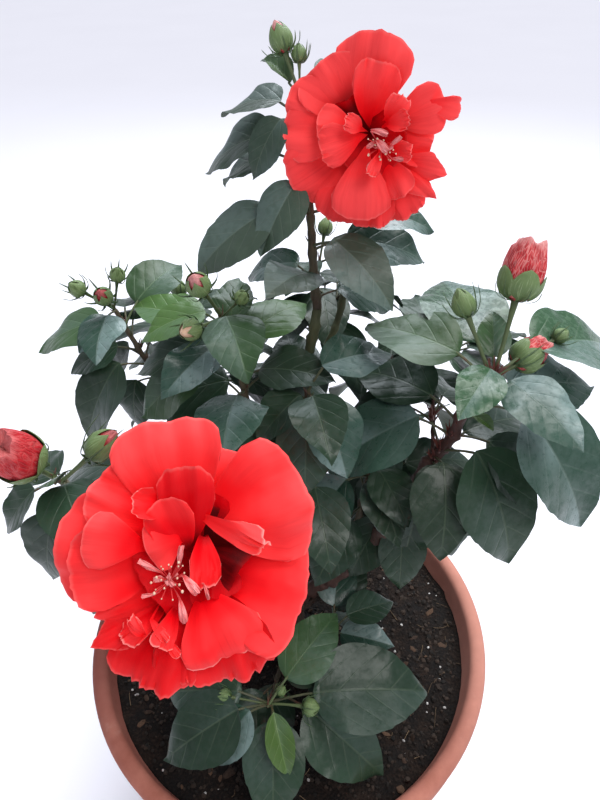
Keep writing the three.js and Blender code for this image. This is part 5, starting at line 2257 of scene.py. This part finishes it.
# Petals: foot, angle, length, width, rises, wave, crimp, turn and painted light (below 0 painted shade), then
# what is their own
FLOWERS = {
    "bloom_lower": Flower(
        tuft=(-13, -10, 26), painted_light=-0.36,
        outer=(
            throat((5, 0, -2), 34, 27, 40, -1.35),
            throat((5, 0, -2), -42, 30, 38, -1.35),
            throat((5, -2, -2), -100, 31, 39, -0.8),
            throat((3, -1, -2), -155, 40, 44, -0.8),
            throat((3, 0, -2), 141, 30, 38, -0.8),
            throat((4, 1, -2), 92, 33, 39, -0.8),
            Lobe((-2, 15, 0), 92, 60, 57, (52, -6), 1.4, 0.8, 4, 0.75, curl=0.3),
            Lobe((8, 10, 1), 9, 61, 67, (54, -4), 1.6, 1.2, -6, 0.7, curl=0.25),
            Lobe((8, 10, -6), 66, 47, 34, (44, -16), 1.0, 0.8, 0, 0.4, curl=0.3),
            Lobe((-8, 15, 4), 141, 48, 37, (48, 2), 1.8, 1.0, -8, 0.55),
            Lobe((-13, 2, 0), 162, 57, 55, (46, -8), 1.6, 1.0, 6, 0.5, curl=0.35),
            Lobe((-12, -1, 5), 171, 52, 42, (50, 4), 1.4, 1.0, 10, 0.45),
            Lobe((11, -14, 0), -31, 50, 63, (50, -4), 1.6, 1.2, 8, 0.5, curl=0.3),
            Lobe((4, -20, 2), -83, 50, 47, (50, -14), 2.2, 2.2, -6, 0.2),
            Lobe((-8, -22, 3), -102, 41, 31, (52, -16), 2.4, 2.4, 10, 0.05),
            Lobe((-15, -23, 2), -120, 42, 44, (50, -14), 3.0, 2.6, -12, 0.1),
            Lobe((-18, -22, 4), -166, 42, 21, (46, 0), 1.6, 1.0, -22, 0.2, tip=1.0),
            Lobe((-16, -17, 4), -177, 38, 23, (46, 0), 1.6, 1.0, 18, 0.4, tip=1.1),
        ),
        inner=(
            Lobe((-21, 8, 25), 159, 30, 28, (36, -2), 0.8, 0.4, 0, 0.75, cup=-0.05),
            Lobe((-1, 3, 10), 83, 48, 29, (58, 16), 1.2, 1.2, -8, 0.12, cup=0.2),
            Lobe((-2, 2, 15), 111, 35, 24, (60, 22), 1.0, 0.8, 6, 0.25, cup=0.3),
            Lobe((-3, 9, 23), -167, 20, 26, (44, 0), 1.0, 0.6, 14, 0.8, cup=-0.08),
            Lobe((-7, 23, 24), 164, 22, 16, (56, 14), 1.6, 1.6, -16, 0.35, cup=0.5, curl=-0.5, edged=True),
            Lobe((5, 18, 22), -40, 39, 14, (34, 4), 2.6, 4.2, -34, 0.9, cup=0.35, curl=0.3, edged=True),
            Lobe((7, 9, 13), -101, 32, 17, (50, 14), 1.4, 2.2, 22, 0.15, cup=0.25, edged=True),
            Lobe((0, -19, 14), -77, 39, 44, (44, -14), 1.2, 1.4, -6, 0.6, cup=-0.08, curl=0.5, edged=True),
            Lobe((-13, -23, 18), -124, 23, 14, (58, 20), 2.0, 2.0, 40, 0.3, cup=0.5, edged=True),
            Lobe((-17, -22, 12), -158, 28, 15, (52, 10), 2.0, 2.0, -34, 0.25, cup=0.4, edged=True),
            Lobe((-28, -32, 24), 116, 15, 6, (60, 24), 2.0, 1.4, 9, 0.6, cup=0.9, curl=0.8, edged=True),
            Lobe((-25, -24, 26), -60, 15, 5, (40, 10), 1.6, 1.6, 9, 0.7, cup=0.7, edged=True),
            Lobe((-20, -35, 26), -60, 11, 5, (30, 10), 1.6, 1.6, 9, 0.7, cup=0.7, edged=True),
            pale_blade((-10, -18, 28), -87, 13, 4, (40, 10), 0.4, 1.8),
            pale_blade((-15, -6, 28), 141, 14, 3, (30, 10), 0.5, 1.4),
            pale_blade((-8, -6, 28), 74, 13, 3, (40, 16), 0.5, 1.4),
            pale_blade((-7, -8, 28), -61, 13, 5, (36, 8), 0.4, 1.6),
            pale_blade((2, -14, 28), -82, 9, 2, (30, 8), 0.4, 1.4),
            pale_blade((-18, -14, 28), 179, 9, 2, (30, 8), 0.4, 1.4),
        )),
    "bloom_upper": Flower(
        tuft=(6, -6, 26), painted_light=0.18,
        outer=(
            throat((-3, 3, -2), 41, 27, 37, -0.8),
            throat((-1, 0, -2), -6, 29, 35, -0.8),
            throat((-1, -2, -2), -69, 29, 38, -0.8),
            throat((-2, -2, -2), -131, 27, 38, -0.8),
            throat((-4, 0, -2), 174, 28, 35, -1.62),
            throat((-4, 2, -2), 116, 29, 37, -1.62),
            Lobe((-5, 9, 0), 84, 51, 48, (52, -4), 1.2, 0.9, 4, 0.65, tip=2.0, curl=0.3),
            Lobe((-12, 9, 1), 129, 40, 41, (50, -2), 1.2, 0.8, -6, 0.6, curl=0.2),
            Lobe((-13, 6, 0), 161, 44, 33, (46, -6), 1.4, 0.8, 8, 0.55),
            Lobe((-12, 2, 2), -178, 45, 37, (46, -2), 1.6, 1.2, -4, 0.45),
            Lobe((-11, -7, 0), -148, 48, 41, (46, -6), 1.8, 1.2, 6, 0.3),
            Lobe((-7, -13, -2), -109, 45, 35, (46, -8), 1.6, 1.4, -4, 0.15),
            Lobe((1, -14, 0), -86, 45, 31, (46, -6), 1.8, 1.6, 6, 0.1),
            Lobe((6, -14, -1), -57, 43, 32, (46, -6), 1.8, 1.6, -8, 0.1),
            Lobe((11, -12, 3), -36, 43, 17, (46, 0), 1.2, 0.8, 14, 0.25, tip=1.0),
            Lobe((16, -13, 6), -13, 35, 20, (46, 2), 1.0, 0.8, -12, 0.5, tip=1.1),
            Lobe((10, 0, 2), -7, 30, 32, (48, 0), 1.4, 1.0, 10, 0.2),
            Lobe((13, 7, 5), 22, 35, 30, (52, -4), 1.0, 0.6, -10, 0.65, curl=0.4),
            Lobe((29, 18, 16), -9, 24, 14, (20, -30), 0.6, 0.4, -6, 0.6, curl=0.4),
        ),
        inner=(
            Lobe((-4, 8, 6), 77, 38, 29, (56, 10), 1.6, 1.6, -18, 0.1, cup=0.25),
            Lobe((-6, -1, 16), -162, 28, 27, (46, 4), 2.4, 2.0, 10, 0.5, cup=0.05),
            Lobe((-10, 3, 12), 170, 26, 24, (48, 6), 2.0, 1.6, -10, 0.5, cup=0.1),
            Lobe((-6, 3, 22), 150, 15, 11, (60, 30), 2.0, 1.6, -10, 0.45, cup=0.5, curl=0.4, edged=True),
            Lobe((-4, -10, 12), -88, 41, 40, (42, -8), 1.2, 1.0, 4, 0.7, cup=-0.04),
            Lobe((8, 9, 16), 52, 19, 15, (58, 20), 2.0, 2.2, -12, 0.4, cup=0.5, curl=0.4, edged=True),
            Lobe((8, 6, 20), 11, 18, 13, (58, 20), 2.4, 2.4, 20, 0.35, cup=0.4, curl=-0.4, edged=True),
            Lobe((13, -6, 16), -12, 15, 15, (54, 20), 1.6, 1.4, -30, 0.3, cup=0.5, edged=True),
            Lobe((6, -8, 22), -112, 19, 9, (56, 24), 1.0, 1.4, 30, 0.4, cup=0.6, edged=True),
            Lobe((8, -13, 10), -56, 28, 23, (46, 4), 2.0, 1.6, -10, 0.15, cup=0.1),
            pale_blade((-2, 3, 30), -3, 12, 4, (24, 6), 0.6, 1.6, -20),
            pale_blade((2, -1, 30), -41, 11, 5, (30, 10), 0.5, 1.6),
            pale_blade((10, -6, 30), 43, 10, 3, (24, 10), 0.4, 1.4),
            pale_blade((12, -12, 26), -1, 8, 3, (24, 10), 0.5, 1.8),
            pale_blade((6, -12, 26), -145, 10, 4, (30, 10), 0.6, 1.6, 20),
        )),
}


@dataclass(frozen=True)
class BloomSizes:
    """Fineness and shape of the petals, and the counts of the small parts in the heart."""

    outer: tuple = (36, 29)
    inner: tuple = (26, 21)
    small: tuple = (14, 9)
    thickness: float = 0.55
    claw: float = 0.16
    claw_height: float = -9
    claw_spread: tuple = (0.2, 0.4)
    widest: float = 0.68
    shoulder: float = 0.62
    ruffle: float = 4
    nick: float = 0.014
    billow: float = 0.08
    curl: float = 2.6
    painted_light_spread: float = 0.06
    line_points: int = 71
    blades: int = 5
    anthers: int = 20
    calyx: tuple = (0, 0, -19)


class Blooms:
    """The two full blooms: petals, inner petals, tuft and anthers."""

    def __init__(self, plant: Plant, sizes: BloomSizes) -> None:
        """Keeps the plant and the sizes."""
        self.plant, self.sizes = plant, sizes
        self.chance = np.random.default_rng(57)

    def midline(self, lobe: Lobe, s: Array) -> tuple:
        """The middle line of a petal, and the ways across it and off its face.

        Args:
            lobe: the petal's shape.
            s: how far along each of its points is.

        Returns:
            Three grids of vectors, to the right, to the top and forward.
        """
        t = np.linspace(0, 1.1, self.sizes.line_points)
        rise = np.radians(lobe.rises[0] + (lobe.rises[1] - lobe.rises[0]) * t)
        yaw = np.radians(lobe.angle + lobe.sweep * t * t)
        ways = np.stack([np.cos(rise) * np.cos(yaw), np.cos(rise) * np.sin(yaw), np.sin(rise)], -1)
        line = np.cumsum(ways, 0) * lobe.length * t[1]
        aside = np.stack([np.sin(yaw), -np.cos(yaw), 0 * yaw], -1)
        up = np.cross(aside, ways)
        cos, sin = math.cos(math.radians(lobe.turn)), math.sin(math.radians(lobe.turn))
        runs = (line - line[0], aside * cos + up * sin, up * cos - aside * sin)
        return tuple(np.stack([np.interp(s, t, run[:, k]) for k in range(3)], -1) for run in runs)

    def add_petal(self, piece: Piece, bloom: Bloom, lobe: Lobe, shape: tuple, root: Array,
                  slots: tuple) -> None:
        """Adds a petal to a piece.

        Args:
            piece: the piece that it goes into.
            bloom: the bloom that it belongs to.
            lobe: its shape.
            shape: how many rows and columns of points it has.
            root: where its claw starts, measured as its foot is.
            slots: the material of its upper and of its under side.
        """
        z, c = self.sizes, self.chance
        u, q = grid(*shape)
        side = np.abs(q)
        nick, broad, fine = Swell(c, 6), Swell(c, 3), Swell(c, 6)
        end = z.shoulder + (1 - z.shoulder) * (1 - side ** lobe.tip) ** (1 / lobe.tip)
        s = u * (end * (1 + z.nick * lobe.crimp * nick(q * 6)))
        width = lobe.width / 2 * np.clip(s / z.widest, 0, 1) ** 0.78 * (1 + 0.12 * np.clip(s - 0.6, 0, 1))
        middle, across, normal = self.midline(lobe, s)
        height = (lobe.cup * q * q * width + lobe.wave * s * s * np.sin(q * z.ruffle + lobe.wave)
                  + broad(q * 2.6 + 1) * u ** 1.6 * lobe.width * z.billow
                  + fine(q * 8) * np.clip((u - 0.5) / 0.5, 0, 1) ** 2 * lobe.crimp
                  - lobe.curl * np.clip(u - 0.7, 0, 1) ** 2 * lobe.length * z.curl)
        foot = vec(*lobe.foot)
        claw = np.clip(1 - u / z.claw, 0, 1)[..., None] ** 1.5
        place = foot + middle + (q * width)[..., None] * across + (root - foot) * claw
        slim = np.clip((1 - side) * 5, 0, 1) * np.clip((1 - u) * 8, 0, 1) * np.clip(u * 8, 0, 1)
        thick = z.thickness / 2 * slim
        top, under = (bloom.heart + (place + (height + lift)[..., None] * normal) @ bloom.frame
                      for lift in (thick, -thick))
        # Painted light and shade of the petal: its own, its bloom's, and a little at random.
        painted_light = lobe.painted_light + FLOWERS[bloom.name].painted_light + c.uniform(-z.painted_light_spread, z.painted_light_spread)
        piece.add_sheet(top, under, slots, (u, q, painted_light), pointed=False)

    def tuft(self, bloom: Bloom, piece: Piece) -> None:
        """Adds narrow pale blades, filaments and anthers where the tuft stands.

        Args:
            bloom: the bloom.
            piece: the piece that they go into.
        """
        z, c = self.sizes, self.chance
        spot = vec(*FLOWERS[bloom.name].tuft)
        for k in range(z.blades):
            foot = spot + c.normal(0, 1.6, 3)
            blade = Lobe(tuple(foot), k * GOLDEN_ANGLE + 20, c.uniform(5, 9), c.uniform(1.8, 3.6),
                         (c.uniform(40, 75), c.uniform(5, 35)), cup=0.4, turn=c.uniform(-45, 45),
                         wave=c.uniform(0.4, 1.2), curl=c.uniform(0, 0.6), crimp=1.3)
            self.add_petal(piece, bloom, blade, z.small, spot, (1, 1))
        along, turn = round_grid(7, 8)
        rows = along * math.pi
        ball = np.stack([np.sin(rows) * np.cos(turn) * 0.8, np.sin(rows) * np.sin(turn),
                         np.cos(rows) * 0.8], -1)
        for _ in range(z.anthers):
            around, off = c.uniform(0, 2 * math.pi), c.uniform(1.5, 8)
            out = vec(math.cos(around), math.sin(around), 0)
            foot = spot + out * 1.5 + vec(0, 0, c.uniform(-3, 1))
            end = foot + out * off + vec(0, 0, c.uniform(3, 8))
            line = curve(foot, (foot + end) / 2 + vec(0, 0, 1.2), end, np.linspace(0, 1, 4))
            path = bloom.heart + line @ bloom.frame
            piece.add_tube(path, np.full(4, 0.25), 5, 1, (0.3, 0.3, 0.5))
            piece.add_rings(path[-1] + ball * c.uniform(0.45, 0.95), 2, (0, 0, c.uniform()))

    def calyx(self, bloom: Bloom, piece: Piece) -> None:
        """Adds the green calyx and its bracts behind the petals.

        Args:
            bloom: the bloom.
            piece: the piece that they go into.
        """
        z = self.sizes
        lobes = [Lobe(z.calyx, 72 * k + 20, 23, 15, (80, 30), cup=0.5, tip=1.2, turn=0, wave=0.4,
                      crimp=0.3) for k in range(5)]
        lobes += [Lobe(z.calyx, 51 * k, 15, 2.4, (40, 50), tip=1.1, turn=0, wave=0.4, crimp=0.1)
                  for k in range(7)]
        for lobe in lobes:
            self.add_petal(piece, bloom, lobe, z.small, vec(*z.calyx), (3, 3))

    def build(self) -> None:
        """Builds a piece of petals, and one of the heart and the calyx, for each bloom."""
        z = self.sizes
        materials = [petal_material("petal", 0.15), tuft_material(), anther_material(),
                     bud_material("bloom_calyx", (0.045, 0.085, 0.035), (0.120, 0.190, 0.080),
                                  (0.190, 0.270, 0.130)), petal_material("petal_edged", 0.6)]
        for bloom in self.plant.blooms:
            flower = FLOWERS[bloom.name]
            petals = Piece(f"{bloom.name}_petals", materials)
            for lobe in flower.outer:
                root = vec(z.claw_spread[0] * lobe.foot[0], z.claw_spread[0] * lobe.foot[1], z.claw_height)
                self.add_petal(petals, bloom, lobe, z.outer, root, (0, 0))
            petals.make([bloom.name], "petals", crease=70)
            heart = Piece(f"{bloom.name}_heart", materials)
            for lobe in flower.inner:
                root = vec(z.claw_spread[1] * lobe.foot[0], z.claw_spread[1] * lobe.foot[1], 0)
                slot = 1 if lobe.pale else 4 if lobe.edged else 0
                self.add_petal(heart, bloom, lobe, z.inner, vec(*flower.tuft) if lobe.pale else root,
                               (slot, slot))
            self.tuft(bloom, heart)
            self.calyx(bloom, heart)
            heart.make([bloom.name], "petals", crease=60)


# Studio
@dataclass(frozen=True)
class View:
    """The camera: its place in metres, its tilt and roll in degrees, and its lens."""

    place: tuple = (0.01216, -0.316, 0.8799)
    tilt: float = 50.1
    roll: float = -0.42
    lens: float = 27.05


class Studio:
    """Floor, soft light and camera."""

    def __init__(self, view: View) -> None:
        """Keeps the view."""
        self.view = view

    def floor(self) -> None:
        """Adds a wide pale floor."""
        bpy.ops.mesh.primitive_plane_add(size=60, location=(0, 0, 0))
        floor = bpy.context.object
        floor.name = "floor"
        floor.data.materials.append(floor_material())

    def light(self, name: str, kind: str, place: tuple, aim: tuple, size: float, power: float,
              colour: tuple) -> None:
        """Adds a soft light.

        Args:
            name: its name.
            kind: AREA for a square lamp, SUN for light from one side of the sky.
            place: where it hangs, in metres.
            aim: what it points at.
            size: length of the lamp's side in metres, or how wide the sun is in degrees.
            power: its power in watts, or in watts a square metre.
            colour: its colour.
        """
        bpy.ops.object.light_add(type=kind, location=place)
        lamp = bpy.context.object
        lamp.name = name
        lamp.data.energy, lamp.data.color = power, colour
        if kind == "SUN":
            lamp.data.angle = math.radians(size)
        else:
            lamp.data.size = size
        lamp.rotation_euler = (Vector(place) - Vector(aim)).to_track_quat("Z", "Y").to_euler()

    def sky(self) -> None:
        """Sets a pale even sky."""
        world = bpy.data.worlds.new("sky")
        world.use_nodes = True
        back = world.node_tree.nodes["Background"]
        back.inputs["Color"].default_value = (0.84, 0.87, 1.0, 1.0)
        back.inputs["Strength"].default_value = 0.52
        bpy.context.scene.world = world

    def camera(self) -> None:
        """Adds the camera."""
        v = self.view
        data = bpy.data.cameras.new("camera")
        data.lens, data.sensor_width, data.sensor_fit = v.lens, 36, "AUTO"
        data.clip_start, data.clip_end = 0.02, 100
        camera = bpy.data.objects.new("camera", data)
        bpy.context.scene.collection.objects.link(camera)
        tilt, roll = math.radians(v.tilt), math.radians(v.roll)
        camera.matrix_world = (Matrix.Translation(v.place) @ Matrix.Rotation(tilt, 4, "X")
                               @ Matrix.Rotation(roll, 4, "Z"))
        bpy.context.scene.camera = camera

    def build(self) -> None:
        """Sets the stage."""
        self.floor()
        self.sky()
        self.light("day", "SUN", (0.55, 0.45, 1.5), (0, 0, 0), 40, 1.75, (1.0, 0.985, 0.97))
        self.light("window", "AREA", (0.35, 1.6, 2.1), (0, 0, 0.55), 1.5, 42, (0.86, 0.93, 1.0))
        self.light("front", "AREA", (0.9, -1.2, 2.4), (0.05, 0, 0.95), 1.0, 21, (1.0, 0.98, 0.96))
        self.camera()
        bpy.context.scene.view_settings.view_transform = "Standard"


def main() -> None:
    """Builds the object and its stage, piece by piece."""
    logging.basicConfig(level=logging.INFO, format="%(message)s")
    for thing in bpy.context.view_layer.objects:
        thing.select_set(False)
    plant = Plant()
    LOG.info("leaves: %d", sum(len(mass.leaves) for mass in plant.masses))
    Pot(PotSizes()).build()
    Compost(CompostSizes()).build()
    wood = Wood(plant, WoodSizes())
    wood.build()
    Foliage(plant, wood, BladeSizes()).build()
    Buds(plant, BudSizes()).build()
    Blooms(plant, BloomSizes()).build()
    Studio(View()).build()


if __name__ == "__main__":
    main()
